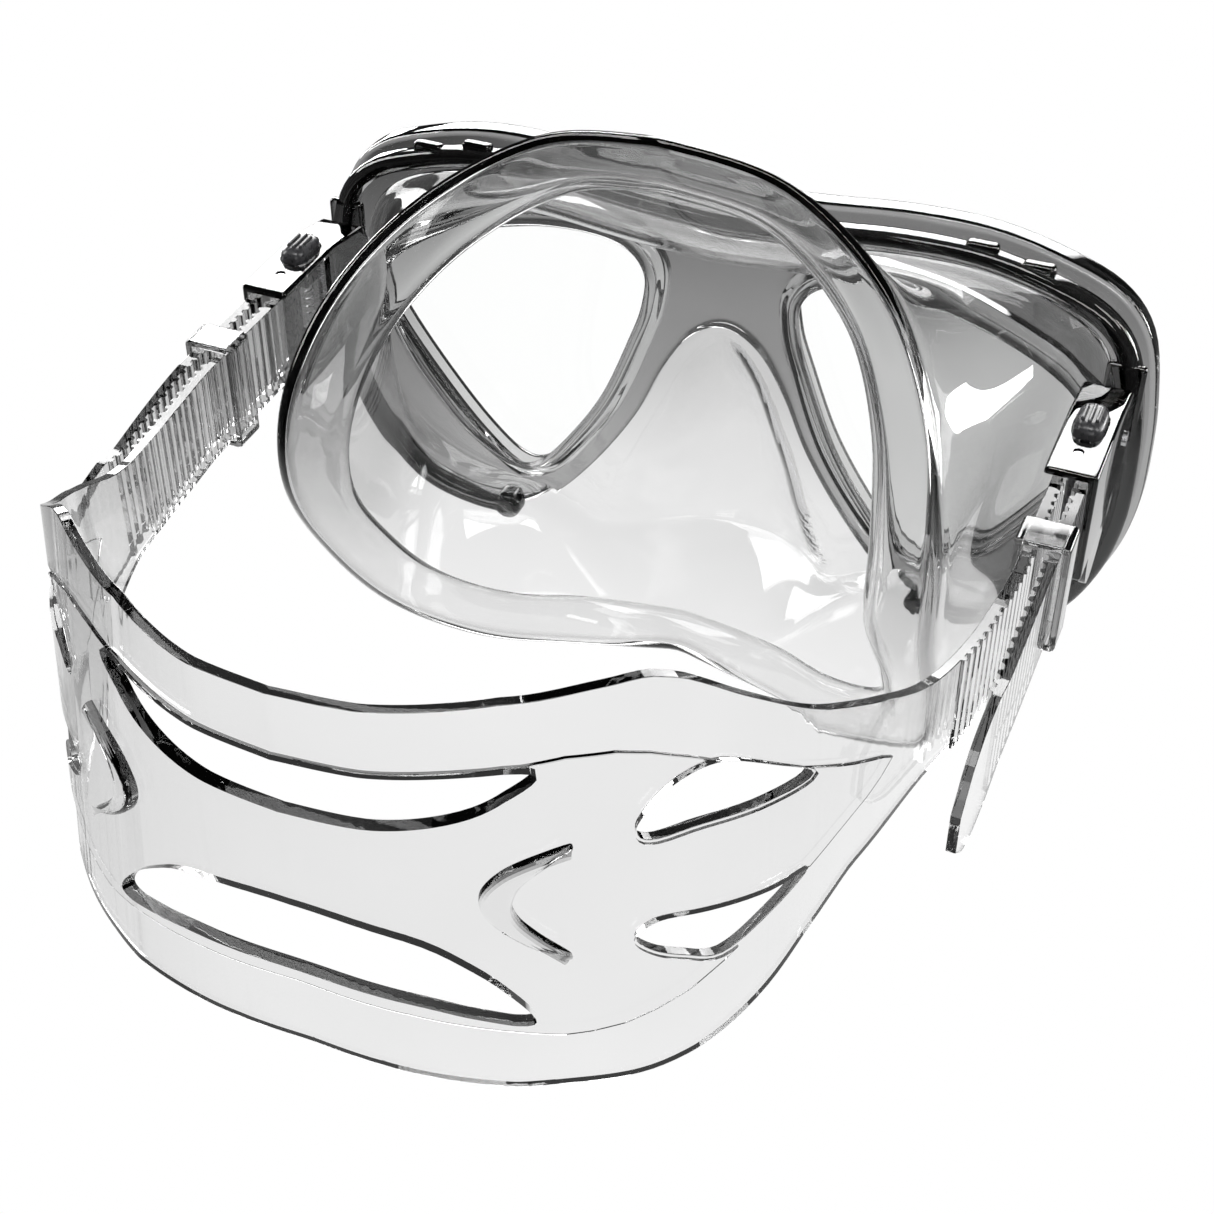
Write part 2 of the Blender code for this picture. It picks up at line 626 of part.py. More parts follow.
def strap_cutters():
    for sign, side in ((1, "left"), (-1, "right")):
        for place, hole in (("upper", SIDE_UPPER_HOLE), ("lower", SIDE_LOWER_HOLE)):
            yield f"strap_{place}_{side}", [(sign * s, z) for s, z in hole]
    for place, hole in (("upper", MIDDLE_UPPER_HOLE), ("lower", MIDDLE_LOWER_HOLE)):
        yield f"strap_{place}_middle", hole + [(-s, z) for s, z in reversed(hole[1:-1])]


def make_strap():
    """The strap is cut flat, with distance along it as x, then bent round the head path."""
    path, lengths = strap_path()
    heights = strap_edges(path, lengths)
    columns = [(s, top, bottom) for s, (top, bottom) in zip(lengths, heights)]
    columns = [(-s, top, bottom) for s, top, bottom in reversed(columns[1:])] + columns
    bm = bmesh.new()
    half = STRAP_THICKNESS / 2
    rows = []
    for s, top, bottom in columns:
        corners = [(-half, bottom), (half, bottom), (half, top), (-half, top)]
        rows.append([bm.verts.new((s * MM, across * MM, z * MM)) for across, z in corners])
    for left, right in zip(rows, rows[1:]):
        for k in range(4):
            bm.faces.new((left[k], left[(k + 1) % 4], right[(k + 1) % 4], right[k]))
    bm.faces.new(rows[0])
    bm.faces.new(rows[-1])
    flat = add_object("strap_flat", mesh_from(bm, "strap_flat"), cutters)
    for name, outline in strap_cutters():
        boolean(flat, slab(name, outline, -OVERCUT, OVERCUT, collection=cutters))
    bpy.context.view_layer.update()
    cut = bpy.data.meshes.new_from_object(flat.evaluated_get(bpy.context.evaluated_depsgraph_get()))
    bm = bmesh.new()
    bm.from_mesh(cut)
    for s, _, _ in columns[1:-1]:
        everything = bm.verts[:] + bm.edges[:] + bm.faces[:]
        bmesh.ops.bisect_plane(bm, geom=everything, dist=1e-7, plane_co=(s * MM, 0, 0), plane_no=(1, 0, 0))
    for vert in bm.verts:
        vert.co = bent(vert.co / MM, path, lengths) * MM
    bmesh.ops.triangulate(bm, faces=bm.faces)
    add_object("strap", mesh_from(bm, "strap", 50.0), parts, SILICONE)


def bent(point, path, lengths):
    """A point of the flat strap, (distance along, across, height), put on the head path."""
    sign = 1 if point.x >= 0 else -1
    s = min(abs(point.x), lengths[-1])
    k = next((n for n in range(len(lengths) - 1) if lengths[n + 1] >= s - 1e-6), len(lengths) - 2)
    share = (s - lengths[k]) / (lengths[k + 1] - lengths[k])
    along_now = (path[k + 1] - path[k]).normalized()
    before = (path[k] - path[k - 1]).normalized() if k else Vector((1.0, 0.0))
    after = (path[k + 2] - path[k + 1]).normalized() if k + 2 < len(path) else along_now
    tangent = (before + along_now).lerp(along_now + after, share).normalized()
    out = Vector((-tangent.y, tangent.x))
    lean = straight_at(STRAP_LEAN, s) * (STRAP_LEAN_Z - point.z)
    spot = path[k].lerp(path[k + 1], share) + out * (point.y + lean)
    return Vector((sign * spot.x, spot.y, point.z))


# ---- buckles and keepers ----


def buckle_side_outline():
    """The buckle from the side as (y, z): a barrel round the hinge, a slope, then two level plates."""
    steps = 6
    barrel = []
    for i in range(steps + 1):
        angle = math.radians(115) + math.radians(130) * i / steps
        barrel.append((HINGE_Y + HINGE_BARREL_R * math.cos(angle), HINGE_BARREL_R * math.sin(angle)))
    upper = [(BUCKLE_END_Y, BUCKLE_HALF_HEIGHT), (SLOPE_END_Y, BUCKLE_HALF_HEIGHT)]
    lower = [(SLOPE_END_Y, -BUCKLE_HALF_HEIGHT), (BUCKLE_END_Y, -BUCKLE_HALF_HEIGHT)]
    return [(y, BUCKLE_Z + z) for y, z in upper + barrel + lower]


def extruded_along_x(name, outline, low_x, high_x, collection, finish=None):
    """A prism with its (y, z) outline carried from low_x to high_x."""
    bm = bmesh.new()
    face = bm.faces.new([bm.verts.new((low_x * MM, y * MM, z * MM)) for y, z in outline])
    grown = bmesh.ops.extrude_face_region(bm, geom=[face])
    moved = [item for item in grown["geom"] if isinstance(item, bmesh.types.BMVert)]
    bmesh.ops.translate(bm, vec=((high_x - low_x) * MM, 0, 0), verts=moved)
    return add_object(name, mesh_from(bm, name), collection, finish)


def make_buckle(side, sign):
    low_x, high_x = sorted((sign * BUCKLE_X[0], sign * BUCKLE_X[1]))
    body = extruded_along_x(
        "buckle_body_" + side, buckle_side_outline(), low_x, high_x, parts, FRAME_PLASTIC
    )
    rounding = body.modifiers.new("rounded_edges", "BEVEL")
    rounding.width = 0.6 * MM
    rounding.segments = 2
    rounding.limit_method = "ANGLE"
    rounding.angle_limit = math.radians(50)
    shield_x = sorted((sign * (BUCKLE_X[1] - BUCKLE_WALL), sign * (BUCKLE_X[1] - 0.01)))
    shield = extruded_along_x("shield_" + side, BUCKLE_SHIELD, *shield_x, cutters)
    boolean(body, shield, "UNION")
    inner_half = BUCKLE_HALF_HEIGHT - BUCKLE_WALL
    cavity_front = ROLLER_Y - LOOP_R - STRAP_THICKNESS / 2 - GAP
    boolean(body, box(
        "cavity_" + side,
        (low_x + BUCKLE_WALL, cavity_front, BUCKLE_Z - inner_half),
        (high_x - BUCKLE_WALL, BUCKLE_END_Y + OVERCUT, BUCKLE_Z + inner_half),
        cutters,
    ))
    # The window on the strap's side stays a hair inside the cavity, so no two faces coincide.
    inset = 0.01
    inner_face = sign * BUCKLE_X[0]
    window_x = sorted((inner_face - sign * OVERCUT, inner_face + sign * (BUCKLE_WALL + 1)))
    boolean(body, box(
        "side_window_" + side,
        (window_x[0], ROLLER_Y + SIDE_WINDOW_FROM, BUCKLE_Z - inner_half + inset),
        (window_x[1], BUCKLE_END_Y + OVERCUT, BUCKLE_Z + inner_half - inset),
        cutters,
    ))
    slot_x = sorted(sign * x for x in (LUG_X[0] - LUG_CLEARANCE, LUG_X[1] + LUG_CLEARANCE))
    boolean(body, box(
        "lug_slot_" + side,
        (slot_x[0], 0, BUCKLE_Z - LONG / 2),
        (slot_x[1], HINGE_Y + LUG_R + LUG_CLEARANCE, BUCKLE_Z + LONG / 2),
        cutters,
    ))
    hinge = ((low_x + high_x) / 2, HINGE_Y, BUCKLE_Z)
    boolean(body, rod("hinge_bore_" + side, hinge, HINGE_BORE_R, LONG / 3, "X", cutters))
    for name, x, y in (("roller", ROLLER_X, ROLLER_Y), ("pawl", PAWL_X, PAWL_Y)):
        boolean(body, rod(f"{name}_bore_{side}", (sign * x, y, BUCKLE_Z), PLATE_BORE_R, LONG, "Z", cutters))
    hole_x, hole_y = BUTTON_STEM[0] / 2 + GAP, BUTTON_STEM[1] / 2 + GAP
    boolean(body, box(
        "stem_hole_" + side,
        (sign * BUTTON_X - hole_x, BUTTON_Y - hole_y, BUCKLE_Z - LONG / 2),
        (sign * BUTTON_X + hole_x, BUTTON_Y + hole_y, BUCKLE_Z + LONG / 2),
        cutters,
    ))


def make_button(name, side, sign, up):
    """A ribbed cap above its plate (up = 1) or below it (up = -1), on a stem into the buckle."""
    x = sign * BUTTON_X
    cap_low = BUCKLE_HALF_HEIGHT + GAP + BUTTON_TRAVEL
    cap_high = cap_low + BUTTON_PROUD

    def block(piece, half_x, half_y, low, high, shift=0.0, collection=cutters, finish=None, bevel=0.0):
        """A box centred on the button, between two distances from the buckle's mid-height."""
        bottom, top = sorted((BUCKLE_Z + up * low, BUCKLE_Z + up * high))
        return box(
            piece,
            (x + shift - half_x, BUTTON_Y - half_y, bottom),
            (x + shift + half_x, BUTTON_Y + half_y, top),
            collection, finish, bevel,
        )

    half_x, half_y = BUTTON_SIZE[0] / 2, BUTTON_SIZE[1] / 2
    button = block(name, half_x, half_y, cap_low, cap_high, 0.0, parts, BUTTON_PLASTIC, 0.9)
    stem_x, stem_y = BUTTON_STEM[0] / 2, BUTTON_STEM[1] / 2
    boolean(button, block(name + "_stem", stem_x, stem_y, STEM_REACH, cap_low + 0.8), "UNION")
    for i in (-1, 0, 1):
        rib = block(
            f"{name}_rib_{i + 1}", RIB_HALF_WIDTH, half_y - 1.6,
            cap_high - RIB_ROOT, cap_high + RIB_PROUD, i * RIB_PITCH,
        )
        boolean(button, rib, "UNION")


def make_spring(side, sign):
    """An open coil between the two button stems."""
    reach = STEM_REACH - GAP - SPRING_WIRE_R
    steps = SPRING_TURNS * 8
    curve = bpy.data.curves.new("button_spring_" + side, "CURVE")
    curve.dimensions = "3D"
    curve.bevel_depth = SPRING_WIRE_R * MM
    curve.bevel_resolution = 0
    curve.use_fill_caps = True
    spline = curve.splines.new("POLY")
    spline.points.add(steps)
    for i, slot in enumerate(spline.points):
        angle = 2 * math.pi * SPRING_TURNS * i / steps
        z = -reach + 2 * reach * i / steps
        slot.co = (SPRING_R * math.cos(angle) * MM, SPRING_R * math.sin(angle) * MM, z * MM, 1.0)
    curve.materials.append(STEEL)
    made = bpy.data.objects.new("button_spring_" + side, curve)
    parts.objects.link(made)
    made.location = Vector((sign * BUTTON_X, BUTTON_Y, BUCKLE_Z)) * MM


def make_roller(side, sign):
    """A roller on thinner journals that turn in the buckle's plates."""
    journal = PIN_R
    half = BUCKLE_HALF_HEIGHT - BUCKLE_WALL - GAP
    end = BUCKLE_HALF_HEIGHT - GAP
    turned("strap_roller_" + side, (sign * ROLLER_X, ROLLER_Y, BUCKLE_Z), [
        (0.0, end), (journal, end), (journal, half), (ROLLER_R, half),
        (ROLLER_R, -half), (journal, -half), (journal, -end), (0.0, -end),
    ], STEEL)


def make_pins(side, sign):
    hinge = (sign * (BUCKLE_X[0] + BUCKLE_X[1]) / 2, HINGE_Y, BUCKLE_Z)
    rod("hinge_pin_" + side, hinge, HINGE_PIN_R, HINGE_PIN_LENGTH, "X", finish=STEEL)
    pawl = (sign * PAWL_X, PAWL_Y, BUCKLE_Z)
    rod("pawl_pin_" + side, pawl, PIN_R, 2 * (BUCKLE_HALF_HEIGHT - GAP), "Z", finish=STEEL)


def make_pawl(side, sign):
    """A toothed lever on the vertical pin; its nose faces the strap's outer run."""
    steps = 7
    outline = []
    for i in range(steps + 1):
        angle = math.pi * i / steps
        outline.append((PAWL_R * math.cos(angle), PAWL_R * math.sin(angle)))
    outline += PAWL_NOSE
    bm = bmesh.new()
    half = BUCKLE_HALF_HEIGHT - BUCKLE_WALL - 2 * GAP
    corners = [bm.verts.new((sign * x * MM, y * MM, -half * MM)) for x, y in outline]
    face = bm.faces.new(corners)
    grown = bmesh.ops.extrude_face_region(bm, geom=[face])
    moved = [item for item in grown["geom"] if isinstance(item, bmesh.types.BMVert)]
    bmesh.ops.translate(bm, vec=(0, 0, 2 * half * MM), verts=moved)
    pawl = add_object("strap_pawl_" + side, mesh_from(bm, "strap_pawl"), parts, BUTTON_PLASTIC)
    pawl.location = Vector((sign * PAWL_X, PAWL_Y, BUCKLE_Z)) * MM
    boolean(pawl, rod("pawl_eye_" + side, (sign * PAWL_X, PAWL_Y, BUCKLE_Z), PAWL_BORE_R, LONG, "Z", cutters))


def make_keeper(side, sign):
    """A rectangular loop round both runs of the strap."""
    half_x, half_z = KEEPER_OPENING
    x = sign * KEEPER_X
    ring = box(
        "keeper_" + side,
        (x - half_x - KEEPER_WALL, KEEPER_Y[0], BUCKLE_Z - half_z - KEEPER_WALL),
        (x + half_x + KEEPER_WALL, KEEPER_Y[1], BUCKLE_Z + half_z + KEEPER_WALL),
        parts, FRAME_PLASTIC, bevel=0.7,
    )
    boolean(ring, box(
        "keeper_opening_" + side,
        (x - half_x, KEEPER_Y[0] - OVERCUT, BUCKLE_Z - half_z),
        (x + half_x, KEEPER_Y[1] + OVERCUT, BUCKLE_Z + half_z),
        cutters,
    ))


make_frame()
make_hoop()
make_lenses()
make_skirt()
make_strap()
for side, sign in (("left", 1), ("right", -1)):
    make_buckle(side, sign)
    make_button("button_upper_" + side, side, sign, 1)
    make_button("button_lower_" + side, side, sign, -1)
    make_spring(side, sign)
    make_roller(side, sign)
    make_pins(side, sign)
    make_pawl(side, sign)
    make_keeper(side, sign)

for placed in list(parts.objects) + list(cutters.objects):
    placed.location -= Vector(ORIGIN) * MM
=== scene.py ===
"""Looks of the clear diving mask: fine shapes, materials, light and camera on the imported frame.

Shapes are drafted in millimetres from the point midway between the lenses, near the plane of their
backs, with +Z up and the wearer looking along -Y. ORIGIN is the row's own origin in that frame, so
every piece moves by -ORIGIN when it is placed.
"""

import math

import bmesh
import bpy
from mathutils import Matrix, Vector


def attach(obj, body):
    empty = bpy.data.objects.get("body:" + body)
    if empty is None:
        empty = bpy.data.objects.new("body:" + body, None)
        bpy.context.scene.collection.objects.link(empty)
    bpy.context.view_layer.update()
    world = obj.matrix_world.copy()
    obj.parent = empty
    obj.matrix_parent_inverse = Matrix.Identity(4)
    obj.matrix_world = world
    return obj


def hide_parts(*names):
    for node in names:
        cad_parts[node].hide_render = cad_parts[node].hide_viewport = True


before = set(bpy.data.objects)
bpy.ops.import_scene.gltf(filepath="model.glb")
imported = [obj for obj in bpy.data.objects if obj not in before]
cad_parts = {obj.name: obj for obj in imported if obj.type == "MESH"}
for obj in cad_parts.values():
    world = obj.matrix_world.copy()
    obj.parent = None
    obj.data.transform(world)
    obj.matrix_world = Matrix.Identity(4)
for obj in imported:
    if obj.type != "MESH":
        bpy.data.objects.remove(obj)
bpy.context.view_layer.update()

MM = 0.001
ORIGIN = Vector((0.0, -5.0, 27.0))
GAP = 0.3
OVERCUT = 2.0
LONG = 60.0
SLIVER = 0.01  # keeps two faces from lying in one plane
# Distances in metres under which points are merged: after a Boolean, in a flat plate, in the sliced strap.
WELD = 0.000002
PLATE_WELD = 0.000005
SLICE_WELD = 0.000004
SLICE_SNAP = 1e-7

# ---- lenses and frame, as (x, z) outlines of the +X side ----

LENS_OPENING = [
    (15.5, 23.5), (15.8, 15.0), (18.6, 6.5), (24.2, -7.5), (31.0, -19.0), (38.5, -28.6),
    (44.5, -30.8), (52.0, -25.0), (61.5, -13.5), (70.0, -1.0), (74.0, 8.0), (70.5, 15.0),
    (61.0, 21.5), (49.0, 26.2), (35.0, 29.6), (21.5, 29.0),
]
LENS_CENTRE = (43.0, 2.0)
LENS_Y = (-3.4, -0.4)
LENS_OVERLAP = 3.0
BEZEL_LIP = 0.8
FRAME_OUTLINE = [
    (0.0, 42.6), (18.0, 43.8), (34.0, 45.4), (49.0, 45.4), (62.0, 42.8), (74.0, 38.0),
    (81.0, 29.6), (83.9, 16.0), (84.7, 3.0), (84.3, -8.0), (81.8, -19.0), (76.5, -30.0),
    (68.5, -38.0), (58.0, -42.0), (46.0, -42.6), (37.0, -38.0), (27.5, -27.0), (18.6, -13.0),
    (12.8, 0.0), (7.0, 9.0), (0.0, 12.6),
]
FRAME_Y = (-5.0, -0.1)
HOOP_Y = (2.3, 7.0)
HOOP_INSET = 1.2
HOOP_WIDTH = 3.8
SNAP_TABS = [(49.5, 44.4), (60.0, 42.4)]
TAB_Y = (3.3, 5.8)
TAB_HALF_WIDTH, TAB_DEEP, TAB_PROUD = 3.0, 3.0, 0.9
HOOP_END = (43.5, 26.0)
KNOB_AT, KNOB_R = (45.4, 4.65, -39.4), 3.0
KNOB_PROUD = 0.6

# ---- skirt ----

SKIRT_OUTLINE = [
    (0.0, 34.2), (18.0, 35.4), (36.0, 37.4), (52.0, 37.0), (63.0, 34.2), (71.5, 29.4),
    (75.8, 22.0), (77.6, 12.0), (77.8, 0.0), (76.0, -11.0), (72.0, -21.0), (64.5, -28.6),
    (55.0, -33.0), (46.0, -34.4), (38.0, -35.0), (30.0, -39.0), (20.0, -46.0), (9.0, -49.4),
    (0.0, -50.0),
]
SKIRT_RIM = [
    (0.0, 38.0, 71.8), (22.0, 35.0, 66.4), (42.0, 41.5, 54.0), (54.0, 54.5, 40.2),
    (59.6, 65.5, 23.5), (60.8, 67.5, 4.5), (60.4, 54.5, -21.0), (55.4, 39.5, -44.0),
    (40.0, 31.0, -54.0), (22.0, 23.0, -56.6), (0.0, 20.5, -52.8),
]
SKIRT_THICKNESS = 1.4
SKIRT_SHEET_Y = 1.05
NOSE_TOP_Z = 13.0
NOSE_FULL_Z = -24.0
NOSE_DEPTH = 23.0
NOSE_HALF_WIDTHS = [(12.0, 4.0), (0.0, 9.5), (-13.0, 13.8), (-28.0, 19.5), (-50.0, 30.0)]
OUTSIDE_STEPS, MIDDLE_STEPS = 60, 30
FRONT_RINGS = (0.12, 0.26, 0.42, 0.58, 0.73, 0.87, 1.0)
# The raised lip round each lens, ring by ring: distance out, most share of the room, rise.
LENS_LIP = [
    (0.0, 0.0, 0.0), (0.7, 0.06, 0.9), (1.6, 0.14, 1.5), (2.6, 0.22, 1.3), (3.4, 0.3, 0.4),
    (4.4, 0.4, 0.0),
]
LIP_FULL_ROOM = 9.0
BEAD_THICKNESS = 2.6
COLLAR = (7.5, 6.6)
WALL_LEAVE = (0.4, 0.8)
WALL_ARRIVE = (0.9, 3.0)
WALL_RINGS = 12
FLANGE = [(1.2, 0.9), (3.2, 1.0), (5.6, 0.9), (8.0, 0.2), (10.0, -1.4), (12.0, -4.0)]
FLANGE_CENTRE_Z = 5.0
LIP_FLANGE = 0.55
LIP_HALF_WIDTH = 30.0

# ---- buckle, for the +X side ----

BUCKLE_X = (71.8, 81.0)
BUCKLE_WALL = 1.2
BUCKLE_END_Y = 43.5
PLATE_PROFILE = [(24.0, 11.0), (12.4, 9.0), (11.3, 8.3), (9.9, 5.6)]
BUCKLE_HALF_HEIGHT = 11.0
BUCKLE_Z = 17.3
BUCKLE_SHIELD = [
    (39.6, 27.0), (38.6, 18.0), (37.4, 8.0), (35.6, 0.6), (31.0, -1.8), (25.0, 1.4), (19.0, 9.0),
    (19.0, 24.0),
]
HINGE_Y = 14.0
HINGE_BARREL_R = 5.6
HINGE_BORE_R = 1.55
LUG_X = (74.7, 78.1)
LUG_R = 3.2
LUG_CLEARANCE = 0.45
SLOT_HALF_ANGLE = 52.0
LUG_BRACKET = (82.0, 5.2, 10.4)  # outer x, front y, half height
BRACKET_PROUD = 0.2
ARM_INSET = (0.2, 0.4, 0.15)
ARM_PAST_HINGE = 0.5
ROLLER_X, ROLLER_Y, ROLLER_R = 76.4, 23.0, 1.2
PAWL_X, PAWL_Y = 76.2, 37.0
PLATE_BORE_R = 0.95
BUTTON_X, BUTTON_Y = 76.4, 28.6
BUTTON_SIZE = (5.4, 9.0)
BUTTON_PROUD = 0.9
BUTTON_STEM = (2.0, 4.2)
BUTTON_TRAVEL = 1.2
STEM_REACH = 4.6
OVAL_POWER = 0.62
CAP_SUNK = 0.5  # how far the cap reaches into its hole in the plate
# The cap's rounded top, ring by ring: distance in from its side, height from its top.
CAP_DOME = [(0.0, -1.5), (0.15, -0.95), (0.5, -0.5), (1.1, -0.15), (1.8, 0.0)]
GRIP_RIB_Z = (-0.5, 0.45)
GRIP_RIB_HALF = 0.36
GRIP_RIB_PITCH = 1.25
GRIP_RIB_SHORTER = 1.7
KEEPER_X = 76.4
KEEPER_Y = (57.1, 63.8)
KEEPER_OPENING = (3.5, 9.6)
KEEPER_WALL = 1.2

# ---- strap: plan path as (x, y), edges and openings as (distance from the back of the head, z) ----

STRAP_THICKNESS = 1.6
STRAP_ROUNDING = 0.12
STRAP_STATIONS = 170
COLUMN_STEP = 1.8
LEAST_COLUMN = 0.35
RUN_SHARE = 0.62  # the strap has turned back round the roller past this share of its half length
STRAP_END_HALF = 9.0
LOOP_R = ROLLER_R + GAP + STRAP_THICKNESS / 2
STRAP_RUN = [
    (0.0, 171.0), (13.0, 170.2), (25.0, 166.5), (36.5, 160.2), (48.0, 150.5), (57.5, 138.5),
    (64.5, 121.0), (68.8, 105.0), (71.8, 90.0), (73.5, 76.0), (ROLLER_X - LOOP_R, 66.0),
    (ROLLER_X - LOOP_R, 40.0),
]
STRAP_TAIL = [
    (ROLLER_X + LOOP_R, 40.0), (ROLLER_X + LOOP_R, 66.0), (78.4, 82.0), (77.8, 98.0),
    (77.2, 114.0),
]
STRAP_TOP = [
    (0.0, 60.2), (16.0, 60.0), (32.0, 59.8), (44.0, 60.6), (52.0, 60.0), (64.0, 53.2),
    (76.0, 45.2), (88.0, 38.6), (104.0, 30.4), (118.0, 27.2), (132.0, 26.3),
]
STRAP_BOTTOM = [
    (0.0, -7.0), (20.0, -6.6), (36.0, -7.0), (48.0, -8.0), (58.0, -6.0), (66.0, -2.4),
    (75.0, 3.0), (87.0, 7.7), (104.0, 10.6), (118.0, 9.2), (132.0, 8.3),
]
STRAP_LEAN = [(0.0, 0.0), (12.0, 0.025), (30.0, 0.1), (55.0, 0.1), (85.0, 0.0), (400.0, 0.0)]
STRAP_LEAN_Z = 25.0
MIDDLE_UPPER_HOLE = [
    (0.0, 40.0), (14.0, 40.5), (24.0, 42.2), (30.0, 44.9), (34.2, 48.7), (25.0, 49.5), (0.0, 49.3),
]
MIDDLE_LOWER_HOLE = [
    (0.0, 8.7), (16.0, 8.3), (25.0, 6.7), (32.6, 5.6), (31.0, 9.6), (25.0, 15.6), (16.0, 20.6),
    (0.0, 22.3),
]
SIDE_UPPER_HOLE = [
    (47.4, 37.0), (49.2, 34.4), (57.0, 34.5), (67.0, 34.1), (74.9, 34.4), (67.6, 40.1), (60.0, 44.0),
    (54.5, 43.4), (50.4, 41.0),
]
SIDE_LOWER_HOLE = [
    (46.8, 17.8), (49.4, 14.6), (54.0, 12.0), (59.4, 9.9), (67.0, 12.8), (74.8, 16.4), (67.0, 17.4),
    (57.0, 18.9), (50.0, 19.9),
]
# The raised middle of the rear panel, half of its outline.
PANEL_STEP = [
    (0.0, 50.3), (18.0, 50.3), (32.3, 50.4), (38.1, 51.0), (44.8, 50.5), (49.4, 49.2), (55.9, 46.3),
    (61.7, 43.4), (68.1, 39.9), (75.7, 35.3), (83.3, 30.7), (91.0, 26.4), (93.8, 24.4), (91.0, 22.4),
    (87.6, 20.8), (80.6, 18.8), (73.2, 16.4), (65.6, 12.5), (59.5, 8.6), (54.2, 5.8), (49.2, 4.0),
    (44.9, 2.9), (40.2, 2.7), (36.5, 2.9), (29.9, 4.4), (16.0, 6.0), (0.0, 6.4),
]
PANEL_STEP_HEIGHT = 0.5
CHEVRON = [
    (38.5, 37.0), (33.6, 35.9), (29.1, 33.7), (26.4, 30.6), (26.4, 27.6), (28.6, 24.2), (33.4, 20.2),
    (37.9, 18.0), (33.6, 22.6), (31.0, 26.0), (30.5, 29.0), (32.4, 32.4),
]
CHEVRON_HEIGHT = 2.2
TAB_HALF = 10.6
TAB_LENGTH = 22.0
TAB_WIDENS_OVER = 0.25
TAB_STRAIGHT = 0.45
TAB_BLUNTNESS = 0.12
TAIL_DROP = 7.0
TAIL_BEND = 1.3
RIB_PITCH = 2.3
RIB_HEIGHT = 0.75
RIB_PHASES = (0.0, 0.18, 0.45, 0.63)  # where a rib's slopes start and end, as shares of the pitch
OUTER_FACE_FROM = 0.1  # height in the flat strap above which a point is on its ribbed face
RIB_FROM_Y = 42.0  # ribs start behind the buckle
RIB_TO_Y = 96.0

# ---- camera and floor level, in the drafting frame ----

CAMERA_TARGET = Vector((0.0, 60.0, -12.0))
CAMERA_BACK = Vector((-0.2918, 0.7112, 0.6395)).normalized()
CAMERA_DISTANCE = 384.32
CAMERA_LENS = 62.27
CAMERA_SENSOR = 36.0
FLOOR_Z = -62.0

# ---- shading limits and lights, in metres ----

# Painted shade on faces that look up: where it starts and where it is darkest.
UP_FACE_SHADE_FROM, UP_FACE_SHADE_TO = 0.25, 0.7  # how far up a face looks before it darkens, and where it is darkest
# Where painted shade starts on the skirt's thick beads and fold, as a share of its "thickness" value.
BEAD_SHADE_FROM = 0.3
# Painted shade on the tops and outer sides of the clear silicones: the heights, then the sideways reaches,
# over which it grows.
TOP_SHADE_Z = (-0.024, 0.002)
SIDE_SHADE_X = (0.054, 0.066)
FLOOR_HALF = 20.0
# The floor's painted pool of light round the object and painted shade in front of it, seen only in the mask's
# reflections and refractions.
FLOOR_LIT_AT = (0.0, 0.02, 0.0)
FLOOR_LIT_RADII = (0.12, 0.26)
FLOOR_FAR = 0.12
FLOOR_SHADE_Y = (-0.08, 0.02)
FLOOR_SHADE = 0.8
# Softboxes as (direction to it, half width, half height, roll in degrees, brightness); sizes are tangents.
SOFTBOXES = [
    ((0.24, -0.88, 0.39), 0.46, 0.25, 0.0, 12.0),
    ((-0.80, -0.52, 0.28), 0.24, 0.08, 30.0, 8.0),
    ((-0.85, -0.1, 0.75), 0.18, 0.25, 0.0, 6.0),
    ((0.95, 0.1, 0.45), 0.2, 0.35, -10.0, 9.0),
    ((0.0, 0.35, 0.95), 0.3, 0.15, 20.0, 8.0),
    ((-0.3, 0.95, 0.2), 0.25, 0.12, 0.0, 6.0),
]
SOFTBOX_CORE = 0.94  # the share of a softbox that is fully bright, before its edge fades
AMBIENT = 0.035
STRIP_AIM = (0.063, 0.025, 0.003)
STRIP_TOWARDS = (0.75, -0.66, -0.02)
STRIP_DISTANCE = 0.45
STRIP_SIZE = (0.22, 0.10)
STRIP_RADIANCE = 14.0


# ---- outlines ----


def mirrored(half):
    """A closed outline from its +X half, whose first and last points lie on the plane x = 0."""
    return half + [(-x, z) for x, z in reversed(half[1:-1])]


def signed_area(points):
    return 0.5 * sum(a[0] * b[1] - b[0] * a[1] for a, b in zip(points, points[1:] + points[:1]))


def offset_outline(points, distance):
    """Each point of a closed outline moved outwards by distance, along the mean of its edge normals."""
    count = len(points)
    turn = 1.0 if signed_area(points) > 0 else -1.0
    moved = []
    for i, point in enumerate(points):
        before = (Vector(point) - Vector(points[i - 1])).normalized()
        after = (Vector(points[(i + 1) % count]) - Vector(point)).normalized()
        along = (before + after).normalized()
        outward = Vector((along.y, -along.x)) * turn
        stretch = 1.0 / max(0.6, outward.dot(Vector((before.y, -before.x)) * turn))
        moved.append(tuple(Vector(point) + outward * distance * stretch))
    return moved


def smooth_point(points, i, t, closed):
    """A point of the Catmull-Rom curve through points, on the span that follows point i."""
    count = len(points)

    def pick(k):
        if closed:
            return Vector(points[k % count])
        return Vector(points[min(max(k, 0), count - 1)])

    a, b, c, d = pick(i - 1), pick(i), pick(i + 1), pick(i + 2)
    linear = (c - a) * t
    square = (2 * a - 5 * b + 4 * c - d) * t**2
    cube = (3 * b - a - 3 * c + d) * t**3
    return b + (linear + square + cube) / 2


def smooth_curve(points, steps, closed=False):
    """Points along the smooth curve through points, steps to a span."""
    spans = len(points) if closed else len(points) - 1
    made = [smooth_point(points, i, k / steps, closed) for i in range(spans) for k in range(steps)]
    return made if closed else made + [Vector(points[-1])]


